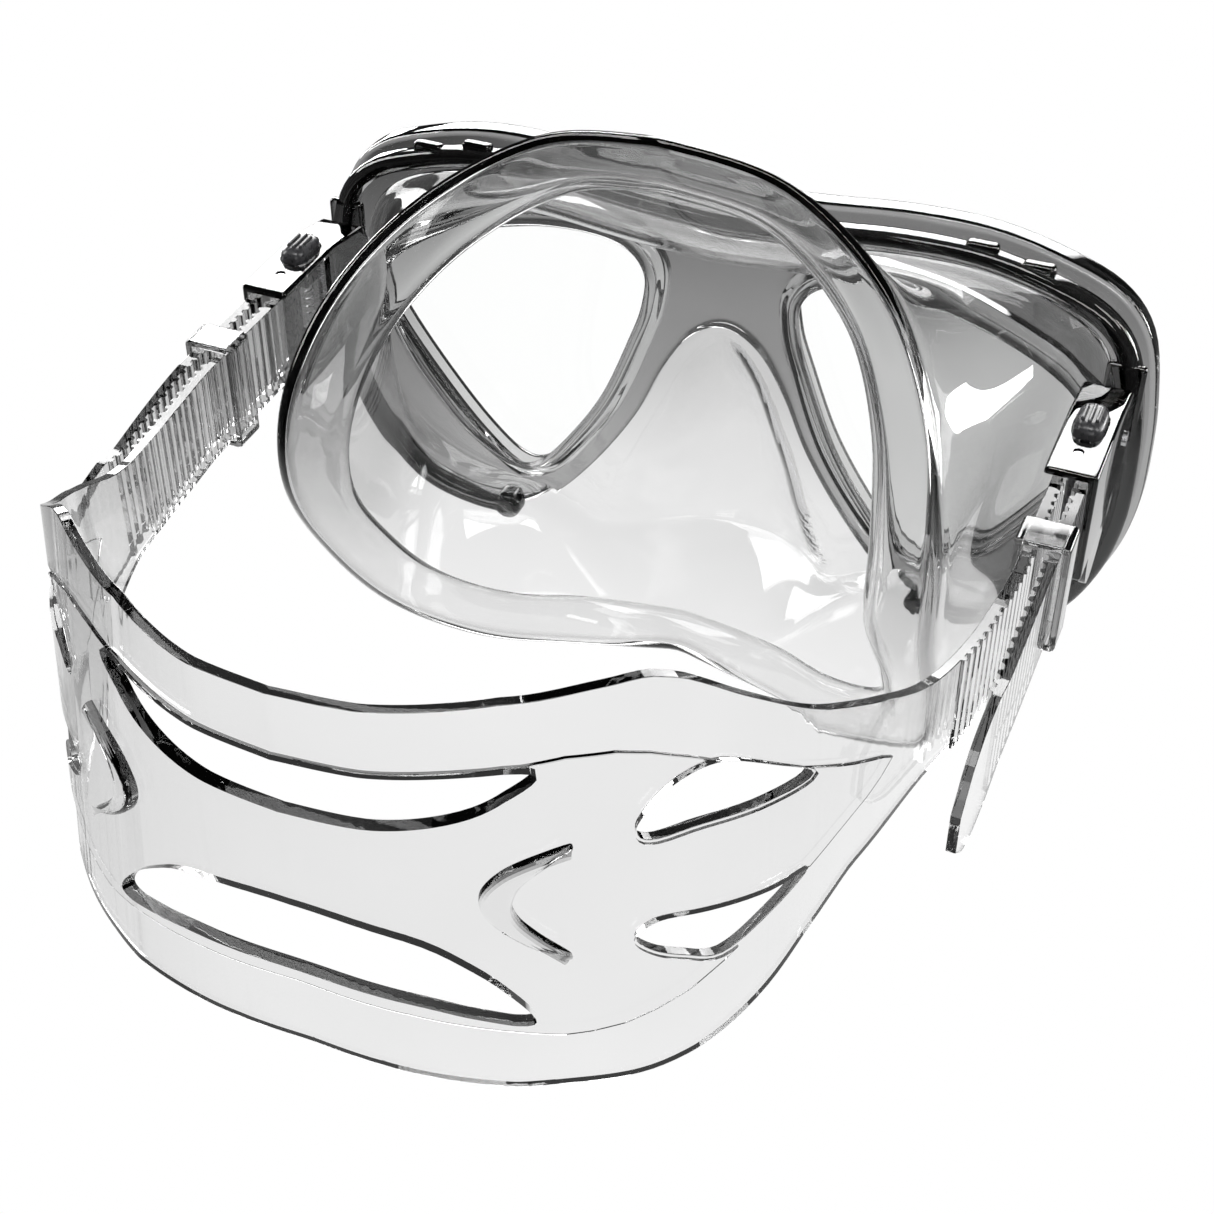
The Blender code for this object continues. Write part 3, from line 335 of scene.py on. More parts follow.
def height_at(table, x):
    """The smooth curve through a table of (x, height), read at x."""
    for i in range(len(table) - 1):
        if x <= table[i + 1][0] or i == len(table) - 2:
            t = (x - table[i][0]) / (table[i + 1][0] - table[i][0])
            return smooth_point(table, i, min(max(t, 0.0), 1.0), False).y


def straight_at(table, x):
    """A table of (x, value) read at x with straight lines between its rows."""
    for (x0, a), (x1, b) in zip(table, table[1:]):
        if x <= x1:
            return a + (b - a) * (x - x0) / (x1 - x0)
    return table[-1][1]


def running_lengths(points):
    lengths = [0.0]
    for a, b in zip(points, points[1:]):
        lengths.append(lengths[-1] + (b - a).length)
    return lengths


def without_straight_points(points):
    """A closed outline less the points that lie on the line between their neighbours."""
    kept = []
    for i, point in enumerate(points):
        before = Vector(point) - Vector(points[i - 1])
        after = Vector(points[(i + 1) % len(points)]) - Vector(point)
        if abs(before.x * after.y - before.y * after.x) > 1e-4:
            kept.append(point)
    return kept


def rounded_rectangle(centre, half_width, half_height, radius, steps=5):
    """A closed outline, anticlockwise."""
    outline = []
    for quarter, (sx, sz) in enumerate(((1, -1), (1, 1), (-1, 1), (-1, -1))):
        for i in range(steps + 1):
            angle = math.radians(-90 + 90 * quarter + 90 * i / steps)
            x = centre[0] + sx * (half_width - radius) + radius * math.cos(angle)
            z = centre[1] + sz * (half_height - radius) + radius * math.sin(angle)
            outline.append((x, z))
    return outline


# ---- building blocks ----


def add_object(name, data):
    made = bpy.data.objects.new(name, data)
    bpy.context.scene.collection.objects.link(made)
    return made


def evaluated_mesh(made):
    """The object's mesh with its modifiers applied."""
    bpy.context.view_layer.update()
    graph = bpy.context.evaluated_depsgraph_get()
    return bpy.data.meshes.new_from_object(made.evaluated_get(graph))


def settle(made):
    """Applies every modifier."""
    mesh = evaluated_mesh(made)
    made.modifiers.clear()
    made.data = mesh
    return made


def from_bmesh(bm, name):
    bmesh.ops.recalc_face_normals(bm, faces=bm.faces)
    mesh = bpy.data.meshes.new(name)
    bm.to_mesh(mesh)
    bm.free()
    return add_object(name, mesh)


def smooth(made, angle):
    """Smooth shading that keeps corners past angle sharp and flat faces flat."""
    made.data.shade_smooth()
    made.data.set_sharp_from_angle(angle=math.radians(angle))
    flat = made.modifiers.new("flat_faces_stay_flat", "WEIGHTED_NORMAL")
    flat.weight = 100
    flat.keep_sharp = True


def cut(target, cutter, operation="DIFFERENCE"):
    """Applies one Boolean, removes the cutter and merges the points it left on top of each other."""
    modifier = target.modifiers.new(cutter.name, "BOOLEAN")
    modifier.operation = operation
    modifier.object = cutter
    settle(target)
    bpy.data.objects.remove(cutter)
    bm = bmesh.new()
    bm.from_mesh(target.data)
    bmesh.ops.remove_doubles(bm, verts=bm.verts, dist=WELD)
    bm.to_mesh(target.data)
    bm.free()


def join(target, other):
    cut(target, other, "UNION")


def plate(name, outer, y_range, rounding=0.0, holes=(), steps=5, segments=3):
    """A flat piece in the XZ plane with rounded edges, cut to a smooth outline with holes."""
    curve = bpy.data.curves.new(name, "CURVE")
    curve.dimensions = "2D"
    curve.fill_mode = "BOTH"
    curve.extrude = ((y_range[1] - y_range[0]) / 2 - rounding) * MM
    curve.bevel_depth = rounding * MM
    curve.bevel_resolution = segments
    curve.offset = -rounding * MM
    for outline, turn in [(outer, 1)] + [(hole, -1) for hole in holes]:
        points = smooth_curve(outline, steps, closed=True) if steps > 1 else [Vector(p) for p in outline]
        if signed_area(points) * turn < 0:
            points.reverse()
        spline = curve.splines.new("POLY")
        spline.points.add(len(points) - 1)
        for slot, point in zip(spline.points, points):
            slot.co = (point.x * MM, point.y * MM, 0.0, 1.0)
        spline.use_cyclic_u = True
    holder = add_object(name + "_outline", curve)
    mesh = evaluated_mesh(holder)
    bpy.data.objects.remove(holder)
    bm = bmesh.new()
    bm.from_mesh(mesh)
    bmesh.ops.remove_doubles(bm, verts=bm.verts, dist=PLATE_WELD)
    middle = (y_range[0] + y_range[1]) / 2
    bm.transform(Matrix.Translation((0, middle * MM, 0)) @ Matrix.Rotation(math.radians(90), 4, "X"))
    return from_bmesh(bm, name)


def block(name, low, high, bevel=0.0, segments=3):
    """A rounded box between two corners."""
    bm = bmesh.new()
    bmesh.ops.create_cube(bm, size=1.0)
    low, high = Vector(low), Vector(high)
    bmesh.ops.scale(bm, vec=(high - low) * MM, verts=bm.verts)
    bmesh.ops.translate(bm, vec=(high + low) / 2 * MM, verts=bm.verts)
    if bevel:
        bmesh.ops.bevel(
            bm, geom=bm.edges[:], offset=bevel * MM, segments=segments, profile=0.5, affect="EDGES"
        )
    return from_bmesh(bm, name)


def rod(name, centre, radius, length, axis, bevel=0.0, steps=40):
    bm = bmesh.new()
    bmesh.ops.create_cone(
        bm, cap_ends=True, segments=steps, radius1=radius * MM, radius2=radius * MM, depth=length * MM
    )
    if bevel:
        rims = [edge for edge in bm.edges if any(len(face.verts) > 4 for face in edge.link_faces)]
        bmesh.ops.bevel(bm, geom=rims, offset=bevel * MM, segments=3, profile=0.5, affect="EDGES")
    turn = Matrix.Rotation(math.radians(90), 4, "Y") if axis == "X" else Matrix.Identity(4)
    bm.transform(Matrix.Translation(Vector(centre) * MM) @ turn)
    return from_bmesh(bm, name)


def prism_along_x(name, outline, x_range, bevel=0.0):
    """A prism with its (y, z) outline carried across x_range, its edges rounded."""
    bm = bmesh.new()
    face = bm.faces.new([bm.verts.new((x_range[0] * MM, y * MM, z * MM)) for y, z in outline])
    grown = bmesh.ops.extrude_face_region(bm, geom=[face])
    moved = [item for item in grown["geom"] if isinstance(item, bmesh.types.BMVert)]
    bmesh.ops.translate(bm, vec=((x_range[1] - x_range[0]) * MM, 0, 0), verts=moved)
    made = from_bmesh(bm, name)
    if bevel:
        rounding = made.modifiers.new("rounded_edges", "BEVEL")
        rounding.width = bevel * MM
        rounding.segments = 3
        rounding.limit_method = "ANGLE"
        rounding.angle_limit = math.radians(35)
        settle(made)
    return made


def finish_piece(made, name, finish, body, replaced=(), angle=40.0):
    """Gives a piece its name, material and body, and puts it in the row's frame."""
    made.name = name
    made.data.name = name
    made.data.materials.clear()
    made.data.materials.append(finish)
    smooth(made, angle)
    made.location = -ORIGIN * MM
    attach(made, body)
    if replaced:
        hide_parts(*replaced)
    return made


# ---- materials ----


class Graph:
    """A short way to add and link shader nodes."""

    def __init__(self, tree):
        self.tree = tree
        tree.nodes.clear()

    def node(self, kind, settings=None, **inputs):
        made = self.tree.nodes.new(kind)
        for key, value in (settings or {}).items():
            setattr(made, key, value)
        for key, value in inputs.items():
            socket = made.inputs[int(key[1:])] if key.startswith("_") else made.inputs[key.replace("_", " ")]
            if isinstance(value, bpy.types.NodeSocket):
                self.tree.links.new(value, socket)
            else:
                socket.default_value = value
        return made

    def maths(self, operation, a, b=0.0):
        return self.node("ShaderNodeMath", {"operation": operation}, _0=a, _1=b).outputs[0]

    def spread(self, value, low, high, to_low, to_high):
        """value from low..high mapped to to_low..to_high."""
        ends = {"_1": low, "_2": high, "_3": to_low, "_4": to_high}
        return self.node("ShaderNodeMapRange", None, _0=value, **ends).outputs[0]

    def dot(self, a, b):
        made = self.node("ShaderNodeVectorMath", {"operation": "DOT_PRODUCT"}, _0=a, _1=tuple(b))
        return made.outputs["Value"]

    def noise(self, scale, detail=2.0):
        where = self.node("ShaderNodeTexCoord").outputs["Object"]
        return self.node("ShaderNodeTexNoise", None, Vector=where, Scale=scale, Detail=detail).outputs[0]


def clear_material(name, density, ior, roughness, waves, smoke_and_shade=0.0, edge=0.0, bead_shade=0.0):
    """A clear moulded plastic or silicone, darker where it is thicker.

    density is its absorption per metre, waves the scale and strength of its flow marks.
    The share after waves is painted shade on the top and the outer sides, which leaves the part round the
    nose the clearest.
    edge is painted shade on the faces that look up, which on an upright strap are half of its cut edges.
    The last share is painted shade on the mesh where its "thickness" value is high.
    """
    made = bpy.data.materials.new(name)
    made.use_nodes = True
    graph = Graph(made.node_tree)
    rough = graph.spread(graph.noise(90.0), 0.4, 0.75, roughness, roughness * 2.5)
    shade = graph.spread(graph.noise(35.0), 0.3, 0.7, 0.97, 1.0)
    # Painted shade: the top and the outer sides are greyed, and the part round the nose is left clearest.
    if smoke_and_shade:
        where = graph.node("ShaderNodeTexCoord").outputs["Object"]
        apart = graph.node("ShaderNodeSeparateXYZ", None, _0=where)
        high = graph.spread(apart.outputs["Z"], TOP_SHADE_Z[0], TOP_SHADE_Z[1], 0.0, smoke_and_shade)
        sideways = graph.maths("ABSOLUTE", apart.outputs["X"])
        outer = graph.spread(sideways, SIDE_SHADE_X[0], SIDE_SHADE_X[1], 0.0, smoke_and_shade)
        shade = graph.maths("SUBTRACT", shade, graph.maths("MAXIMUM", high, outer))
    # Painted shade on the faces that look up.
    if edge:
        geometry = graph.node("ShaderNodeNewGeometry").outputs
        upward = graph.node("ShaderNodeSeparateXYZ", None, _0=geometry["True Normal"]).outputs["Z"]
        outward = graph.spread(geometry["Backfacing"], 0.0, 1.0, 1.0, -1.0)
        upward = graph.maths("MULTIPLY", upward, outward)
        shade = graph.maths("MULTIPLY", shade, graph.spread(upward, UP_FACE_SHADE_FROM, UP_FACE_SHADE_TO, 1.0, 1.0 - edge))
    # Painted shade where the "thickness" value is high: the beads round the lenses, the rim fold and the
    # flange's edge.
    if bead_shade:
        thick = graph.node("ShaderNodeAttribute", {"attribute_name": "thickness"}).outputs["Fac"]
        shade = graph.maths("MULTIPLY", shade, graph.spread(thick, BEAD_SHADE_FROM, 1.0, 1.0, 1.0 - bead_shade))
    colour = graph.node("ShaderNodeCombineColor", None, _0=shade, _1=shade, _2=shade).outputs[0]
    ripple = graph.noise(waves[0], 3.0)
    bump = graph.node("ShaderNodeBump", None, Strength=waves[1], Distance=0.0004, Height=ripple).outputs[0]
    shader = graph.node(
        "ShaderNodeBsdfPrincipled", None, Base_Color=colour, Roughness=rough, IOR=ior,
        Transmission_Weight=1.0, Normal=bump,
    )
    depth = graph.node("ShaderNodeVolumeAbsorption", None, Color=(0.0, 0.0, 0.0, 1.0), Density=density)
    graph.node("ShaderNodeOutputMaterial", None, Surface=shader.outputs[0], Volume=depth.outputs[0])
    return made


def solid_material(name, colour, roughness, metallic=0.0, grain=900.0, grain_strength=0.08, stretch=1.0):
    made = bpy.data.materials.new(name)
    made.use_nodes = True
    graph = Graph(made.node_tree)
    where = graph.node("ShaderNodeTexCoord").outputs["Object"]
    scaled = graph.node("ShaderNodeMapping", None, Vector=where, Scale=(1.0, 1.0, stretch)).outputs[0]
    fine = graph.node("ShaderNodeTexNoise", None, Vector=scaled, Scale=grain, Detail=4.0).outputs[0]
    rough = graph.spread(fine, 0.3, 0.7, roughness * 0.8, roughness * 1.3)
    bright = graph.spread(graph.noise(60.0), 0.3, 0.7, 0.85, 1.15)
    mixed = graph.node(
        "ShaderNodeMix", {"data_type": "RGBA", "blend_type": "MULTIPLY"}, _0=1.0, _6=(*colour, 1.0), _7=bright
    ).outputs[2]
    bumps = graph.node("ShaderNodeBump", None, Strength=grain_strength, Distance=0.0002, Height=fine)
    shader = graph.node(
        "ShaderNodeBsdfPrincipled", None, Base_Color=mixed, Roughness=rough, Metallic=metallic,
        Normal=bumps.outputs[0],
    )
    graph.node("ShaderNodeOutputMaterial", None, Surface=shader.outputs[0])
    return made


def lens_material():
    """Tempered glass: nearly invisible face on, with a faint mirror at a slant."""
    made = bpy.data.materials.new("tempered_glass_look")
    made.use_nodes = True
    graph = Graph(made.node_tree)
    smear = graph.spread(graph.noise(25.0, 4.0), 0.45, 0.75, 0.0, 0.05)
    fresnel = graph.node("ShaderNodeFresnel", None, IOR=1.18).outputs[0]
    shine = graph.node("ShaderNodeBsdfGlossy", None, Color=(1.0, 1.0, 1.0, 1.0), Roughness=smear)
    clear = graph.node("ShaderNodeBsdfTransparent", None, Color=(0.997, 1.0, 0.998, 1.0))
    mixed = graph.node("ShaderNodeMixShader", None, _0=fresnel, _1=clear.outputs[0], _2=shine.outputs[0])
    graph.node("ShaderNodeOutputMaterial", None, Surface=mixed.outputs[0])
    return made


HARD = clear_material("clear_polycarbonate_look", 150.0, 1.58, 0.008, (120.0, 0.02))
BUCKLE = clear_material("smoked_polycarbonate_look", 700.0, 1.58, 0.008, (120.0, 0.02))
# The silicones get painted shade on their tops and outer sides; the skirt also on its thick beads, the strap
# on the faces that look up.
SILICONE = clear_material("clear_silicone_look", 55.0, 1.41, 0.01, (40.0, 0.02), 0.2, bead_shade=0.4)
STRAP_SILICONE = clear_material("strap_silicone_look", 35.0, 1.41, 0.01, (40.0, 0.02), 0.05, edge=0.9)
GLASS = lens_material()
SMOKE = solid_material("smoke_plastic_look", (0.045, 0.045, 0.048), 0.28)
STEEL = solid_material("stainless_steel_look", (0.62, 0.62, 0.63), 0.24, 1.0, 300.0, 0.05, 12.0)


# ---- frame, hoop and lenses ----


def both_sides(outline):
    return (("left", outline), ("right", [(-x, z) for x, z in outline]))


def make_bezel():
    windows = [offset_outline(outline, BEZEL_LIP) for _, outline in both_sides(LENS_OPENING)]
    bezel = plate("bezel", mirrored(FRAME_OUTLINE), FRAME_Y, 1.2, windows)
    for side, outline in both_sides(LENS_OPENING):
        pocket = offset_outline(outline, LENS_OVERLAP + GAP)
        cut(bezel, plate("pocket_" + side, pocket, (LENS_Y[0] - GAP, FRAME_Y[1] + OVERCUT)))
    finish_piece(bezel, "bezel", HARD, "mask", ["front_frame"])


def make_lenses():
    for side, outline in both_sides(LENS_OPENING):
        lens = plate("lens_glass_" + side, offset_outline(outline, LENS_OVERLAP), LENS_Y, 0.4)
        finish_piece(lens, "lens_glass_" + side, GLASS, "mask", ["lens_" + side])


def make_hoop():
    outer = offset_outline(mirrored(FRAME_OUTLINE), -HOOP_INSET)
    inner = offset_outline(mirrored(FRAME_OUTLINE), -HOOP_INSET - HOOP_WIDTH)
    hoop = plate("hoop", outer, HOOP_Y, 1.6, [inner], segments=4)
    end_x, end_z = HOOP_END
    clear_low = (-end_x, HOOP_Y[0] - OVERCUT, -LONG)
    clear_high = (end_x, HOOP_Y[1] + OVERCUT, end_z)
    cut(hoop, block("nose_clearance", clear_low, clear_high))
    for sign in (1, -1):
        x = sign * (LUG_X[0] + LUG_X[1]) / 2
        half = (LUG_X[1] - LUG_X[0]) / 2
        outer_x, front_y, half_height = LUG_BRACKET
        low_x, high_x = sorted((sign * LUG_X[0], sign * outer_x))
        bracket_low = (low_x, front_y, BUCKLE_Z - half_height)
        bracket_high = (high_x, HOOP_Y[1] + BRACKET_PROUD, BUCKLE_Z + half_height)
        join(hoop, block("bracket", bracket_low, bracket_high, 0.8))
        arm_x, arm_z = half - ARM_INSET[0], LUG_R - ARM_INSET[2]
        arm_low = (x - arm_x, front_y + ARM_INSET[1], BUCKLE_Z - arm_z)
        arm_high = (x + arm_x, HINGE_Y + ARM_PAST_HINGE, BUCKLE_Z + arm_z)
        join(hoop, block("arm", arm_low, arm_high, 0.4))
        join(hoop, rod("eye", (x, HINGE_Y, BUCKLE_Z), LUG_R, 2 * half, "X", 0.3))
        cut(hoop, rod("bore", (x, HINGE_Y, BUCKLE_Z), HINGE_BORE_R, LONG / 6, "X"))
        for tab_x, tab_z in SNAP_TABS:
            low = (sign * tab_x - TAB_HALF_WIDTH, TAB_Y[0], tab_z - TAB_DEEP)
            high = (sign * tab_x + TAB_HALF_WIDTH, TAB_Y[1], tab_z + TAB_PROUD)
            join(hoop, block("tab", low, high, 0.8, 4))
        knob = rod("knob", (0, 0, 0), KNOB_R, HOOP_Y[1] - HOOP_Y[0] + KNOB_PROUD, "Z", 1.4)
        knob.data.transform(Matrix.Rotation(math.radians(90), 4, "X"))
        knob.data.transform(Matrix.Translation(Vector((sign * KNOB_AT[0], KNOB_AT[1], KNOB_AT[2])) * MM))
        join(hoop, knob)
    finish_piece(hoop, "rear_hoop", BUCKLE, "mask", ["rear_frame"])


# ---- skirt ----


def nose_half_width(z):
    table = NOSE_HALF_WIDTHS
    if z >= table[0][0]:
        return table[0][1]
    for (z0, w0), (z1, w1) in zip(table, table[1:]):
        if z >= z1:
            return w0 + (w1 - w0) * (z0 - z) / (z0 - z1)
    return table[-1][1]


def sheet_y(x, z):
    """How far back the skirt's front sheet lies: level at the lenses, forward in the nose pocket."""
    down = min(max((NOSE_TOP_Z - z) / (NOSE_TOP_Z - NOSE_FULL_Z), 0.0), 1.0)
    depth = NOSE_DEPTH * (1 - (1 - down) ** 2) * down**0.35
    across = min(abs(x) / nose_half_width(z), 1.0)
    return SKIRT_SHEET_Y - depth * (1 - across**2.4) ** 1.6


def ray_hit(outline, centre, direction):
    """Where a ray from centre last crosses an outline of 2D points."""
    best = None
    for a, b in zip(outline, outline[1:]):
        edge = b - a
        cross = direction.x * edge.y - direction.y * edge.x
        if abs(cross) < 1e-9:
            continue
        reach = ((a.x - centre.x) * edge.y - (a.y - centre.y) * edge.x) / cross
        along = ((a.x - centre.x) * direction.y - (a.y - centre.y) * direction.x) / cross
        if reach > 0 and -1e-6 <= along <= 1 + 1e-6 and (best is None or reach > best):
            best = reach
    return centre + direction * best


def skirt_front(bm, centre, layer):
    """The sheet with the lens hole in it; returns its vertices along the outer outline."""
    hole = smooth_curve(LENS_OPENING, 6, closed=True)
    hole.append(hole[0])
    edge = smooth_curve(SKIRT_OUTLINE, 6)
    edge.append(edge[0])
    top = Vector(SKIRT_OUTLINE[0]) - centre
    bottom = Vector(SKIRT_OUTLINE[-1]) - centre
    start = math.atan2(top.y, top.x)
    end = math.atan2(bottom.y, bottom.x)
    outside = [start + (end - start) * i / OUTSIDE_STEPS for i in range(OUTSIDE_STEPS + 1)]
    round_to_top = start - end - 2 * math.pi
    middle = [end + round_to_top * i / MIDDLE_STEPS for i in range(1, MIDDLE_STEPS)]
    rings = []
    for angle in outside + middle:
        direction = Vector((math.cos(angle), math.sin(angle)))
        near = ray_hit(hole, centre, direction)
        far = ray_hit(edge, centre, direction)
        if angle in middle or angle in (outside[0], outside[-1]):
            far.x = 0.0
        room = (far - near).length
        reaches = [min(reach, room * share) for reach, share, _ in LENS_LIP]
        points = [near + direction * reach for reach in reaches]
        last = points[-1]
        points += [last.lerp(far, share) for share in FRONT_RINGS]
        raised = [rise for _, _, rise in LENS_LIP] + [0.0] * len(FRONT_RINGS)
        ring = []
        for point, rise in zip(points, raised):
            y = sheet_y(point.x, point.y) + rise * min(1.0, room / LIP_FULL_ROOM)
            ring.append(bm.verts.new((point.x * MM, y * MM, point.y * MM)))
        ring[0][layer] = ring[1][layer] = 1.0
        rings.append(ring)
    for i, ring in enumerate(rings):
        after = rings[(i + 1) % len(rings)]
        for k in range(len(ring) - 1):
            bm.faces.new((ring[k], ring[k + 1], after[k + 1], after[k]))
    return [ring[-1] for ring in rings[: len(outside)]]


def hermite(start, leave, end, arrive, t):
    along_start = start * (2 * t**3 - 3 * t**2 + 1) + leave * (t**3 - 2 * t**2 + t)
    along_end = end * (3 * t**2 - 2 * t**3) + arrive * (t**3 - t**2)
    return along_start + along_end


def wall_column(foot, end):
    """One line of the wall from the front sheet to the rim, and on over the flange."""
    sideways = (foot.x / max(x for x, _ in SKIRT_OUTLINE)) ** 6
    first = foot + Vector((-COLLAR[0] * sideways, COLLAR[1], 0))
    inward = Vector((-end.x, 0.0, FLANGE_CENTRE_Z - end.z)).normalized()
    reach = (end - first).length
    leave = Vector((-WALL_LEAVE[0] * sideways, WALL_LEAVE[1], 0)) * reach
    arrive = (end - first) * WALL_ARRIVE[0] - inward * WALL_ARRIVE[1]
    points = [foot.lerp(first, share) for share in (0.3, 0.65)] + [first]
    points += [hermite(first, leave, end, arrive, i / WALL_RINGS) for i in range(1, WALL_RINGS + 1)]
    narrow = 1.0
    if end.z < 0:
        narrow = LIP_FLANGE + (1 - LIP_FLANGE) * min(1.0, abs(end.x) / LIP_HALF_WIDTH)
    return points + [end + inward * step * narrow + Vector((0, along, 0)) for step, along in FLANGE]


def skirt_walls(bm, start, layer):
    """Walls from the front outline back to the rim, then the flange turned in against the face."""
    rim = smooth_curve(SKIRT_RIM, 8)
    lengths = running_lengths(rim)
    columns = []
    for i, vert in enumerate(start):
        wanted = lengths[-1] * i / (len(start) - 1)
        k = next(n for n in range(len(rim) - 1) if lengths[n + 1] >= wanted - 1e-9)
        end = rim[k].lerp(rim[k + 1], (wanted - lengths[k]) / (lengths[k + 1] - lengths[k]))
        points = wall_column(vert.co / MM, end)
        if i in (0, len(start) - 1):
            for point in points:
                point.x = 0.0
        column = [vert] + [bm.verts.new(point * MM) for point in points]
        column[-len(FLANGE) - 1][layer] = 1.0
        column[-1][layer] = 0.8
        columns.append(column)
    for left, right in zip(columns, columns[1:]):
        for k in range(len(left) - 1):
            bm.faces.new((left[k], left[k + 1], right[k + 1], right[k]))


def make_skirt():
    bm = bmesh.new()
    # The "thickness" value thickens the lens beads, the rim and the flange's edge, and the skirt's material
    # paints shade where it is high.
    layer = bm.verts.layers.float.new("thickness")
    skirt_walls(bm, skirt_front(bm, Vector(LENS_CENTRE), layer), layer)
    thin = SKIRT_THICKNESS / BEAD_THICKNESS
    bm.verts.index_update()
    weights = [vert[layer] if vert[layer] else thin for vert in bm.verts]
    made = from_bmesh(bm, "skirt_shell")
    thick = made.vertex_groups.new(name="thick")
    for i, weight in enumerate(weights):
        thick.add([i], weight, "REPLACE")
    mirror = made.modifiers.new("both_halves", "MIRROR")
    mirror.merge_threshold = 0.0001
    shell = made.modifiers.new("wall", "SOLIDIFY")
    shell.thickness = BEAD_THICKNESS * MM
    shell.offset = 0.0
    shell.vertex_group = "thick"
    fine = made.modifiers.new("rounded", "SUBSURF")
    fine.levels = fine.render_levels = 1
    settle(made)
    finish_piece(made, "skirt_silicone", SILICONE, "mask", ["skirt"], 60.0)


# ---- strap ----


def strap_path():
    """The strap's plan path as points with the distance along it: run, turn round the roller, tail."""
    run = smooth_curve(STRAP_RUN, 8)
    turn = []
    turn_steps = 16
    centre = Vector((ROLLER_X, ROLLER_Y))
    for i in range(turn_steps + 1):
        angle = math.pi + math.pi * i / turn_steps
        turn.append(centre + Vector((math.cos(angle), math.sin(angle))) * LOOP_R)
    path = run + turn + smooth_curve(STRAP_TAIL, 8)
    return path, running_lengths(path)


def strap_edge(s, lengths, tail_start):
    """The strap's bottom and top at one distance from the back of the head."""
    if s <= STRAP_TOP[-1][0]:
        return height_at(STRAP_BOTTOM, s), height_at(STRAP_TOP, s)
    end = lengths[-1]
    along = max(0.0, (s - tail_start) / (end - tail_start))
    half = STRAP_END_HALF
    into_tab = (s - (end - TAB_LENGTH)) / TAB_LENGTH
    if into_tab > 0:
        widened = min(1.0, into_tab / TAB_WIDENS_OVER)
        past_straight = max(0.0, into_tab - TAB_STRAIGHT) / (1 - TAB_STRAIGHT)
        half += (TAB_HALF - STRAP_END_HALF) * widened
        half *= math.sqrt(max(TAB_BLUNTNESS, 1 - past_straight**2))
    middle = BUCKLE_Z - TAIL_DROP * along**TAIL_BEND
    return middle - half, middle + half


def rib_height(s, ribs):
    """The height of the grip ribs at a distance along the strap: flat tops, sloped sides."""
    _, rise, fall, end = RIB_PHASES
    for start, stop in ribs:
        if start <= s <= stop:
            phase = ((s - start) % RIB_PITCH) / RIB_PITCH
            if phase < rise:
                return RIB_HEIGHT * phase / rise
            if phase < fall:
                return RIB_HEIGHT
            return RIB_HEIGHT * max(0.0, 1 - (phase - fall) / (end - fall))
    return 0.0


def make_strap():
    """The strap is cut flat, with distance along it as x, then bent round the head path."""
    path, lengths = strap_path()
    tail_start = next(s for p, s in zip(path, lengths) if p.x > ROLLER_X and p.y > KEEPER_Y[1] + 4)
    stations = [lengths[-1] * i / STRAP_STATIONS for i in range(STRAP_STATIONS + 1)]
    edges = [(s, *strap_edge(s, lengths, tail_start)) for s in stations]
    top = [(s, z) for s, _, z in edges]
    bottom = [(s, z) for s, z, _ in edges]
    margin = [(-OVERCUT, bottom[0][1]), (-OVERCUT, top[0][1])]
    outline = without_straight_points(bottom + top[::-1] + margin[::-1])
    half = STRAP_THICKNESS / 2
    holes = [smooth_curve(hole, 5, closed=True) for hole in (SIDE_UPPER_HOLE, SIDE_LOWER_HOLE)]
    middle_holes = (MIDDLE_UPPER_HOLE, MIDDLE_LOWER_HOLE)
    middles = [smooth_curve(mirrored(hole), 5, closed=True) for hole in middle_holes]
    flat = plate("strap_flat", outline, (-half, half), STRAP_ROUNDING, holes, steps=1, segments=1)
    panel_margin = -OVERCUT / 2
    panel_outline = [(panel_margin, PANEL_STEP[0][1])] + PANEL_STEP + [(panel_margin, PANEL_STEP[-1][1])]
    raised = plate("panel", panel_outline, (0.0, half + PANEL_STEP_HEIGHT), 0.2, (), 1, 1)
    for i, hole in enumerate(holes):
        wider = offset_outline([tuple(p) for p in hole], 0.4)
        cut(raised, plate(f"panel_hole_{i}", wider, (-OVERCUT, 2 * OVERCUT), steps=1))
    join(flat, raised)
    for i, hole in enumerate(middles):
        cut(flat, plate(f"middle_hole_{i}", [tuple(p) for p in hole], (-2 * OVERCUT, 2 * OVERCUT), steps=1))
    join(flat, plate("chevron", CHEVRON, (0.0, half + CHEVRON_HEIGHT), 1.1, (), 5, 3))
    bend_strap(flat, path, lengths)
    finish_piece(flat, "strap_silicone", STRAP_SILICONE, "head_strap", ["strap"], 20.0)


def strap_columns(path, lengths):
    """Where the flat strap is sliced before it is bent, and the stretches that carry ribs."""
    run_ribs = []
    tail_ribs = []
    for point, s in zip(path, lengths):
        if RIB_FROM_Y <= point.y <= RIB_TO_Y:
            on_run = point.x < ROLLER_X and s < lengths[-1] * RUN_SHARE
            (run_ribs if on_run else tail_ribs).append(s)
    ribs = [(min(run_ribs), max(run_ribs)), (min(tail_ribs), max(tail_ribs))]
    wanted = [(i + 0.5) * COLUMN_STEP for i in range(int(lengths[-1] / COLUMN_STEP))]
    wanted += lengths[1:-1]
    rib_lines = []
    for start, stop in ribs:
        for k in range(int((stop - start) / RIB_PITCH) + 1):
            rib_lines += [start + (k + phase) * RIB_PITCH for phase in RIB_PHASES]
    kept = sorted(rib_lines)
    for s in wanted:
        if all(abs(s - other) > LEAST_COLUMN for other in kept):
            kept.append(s)
    return sorted(kept), ribs


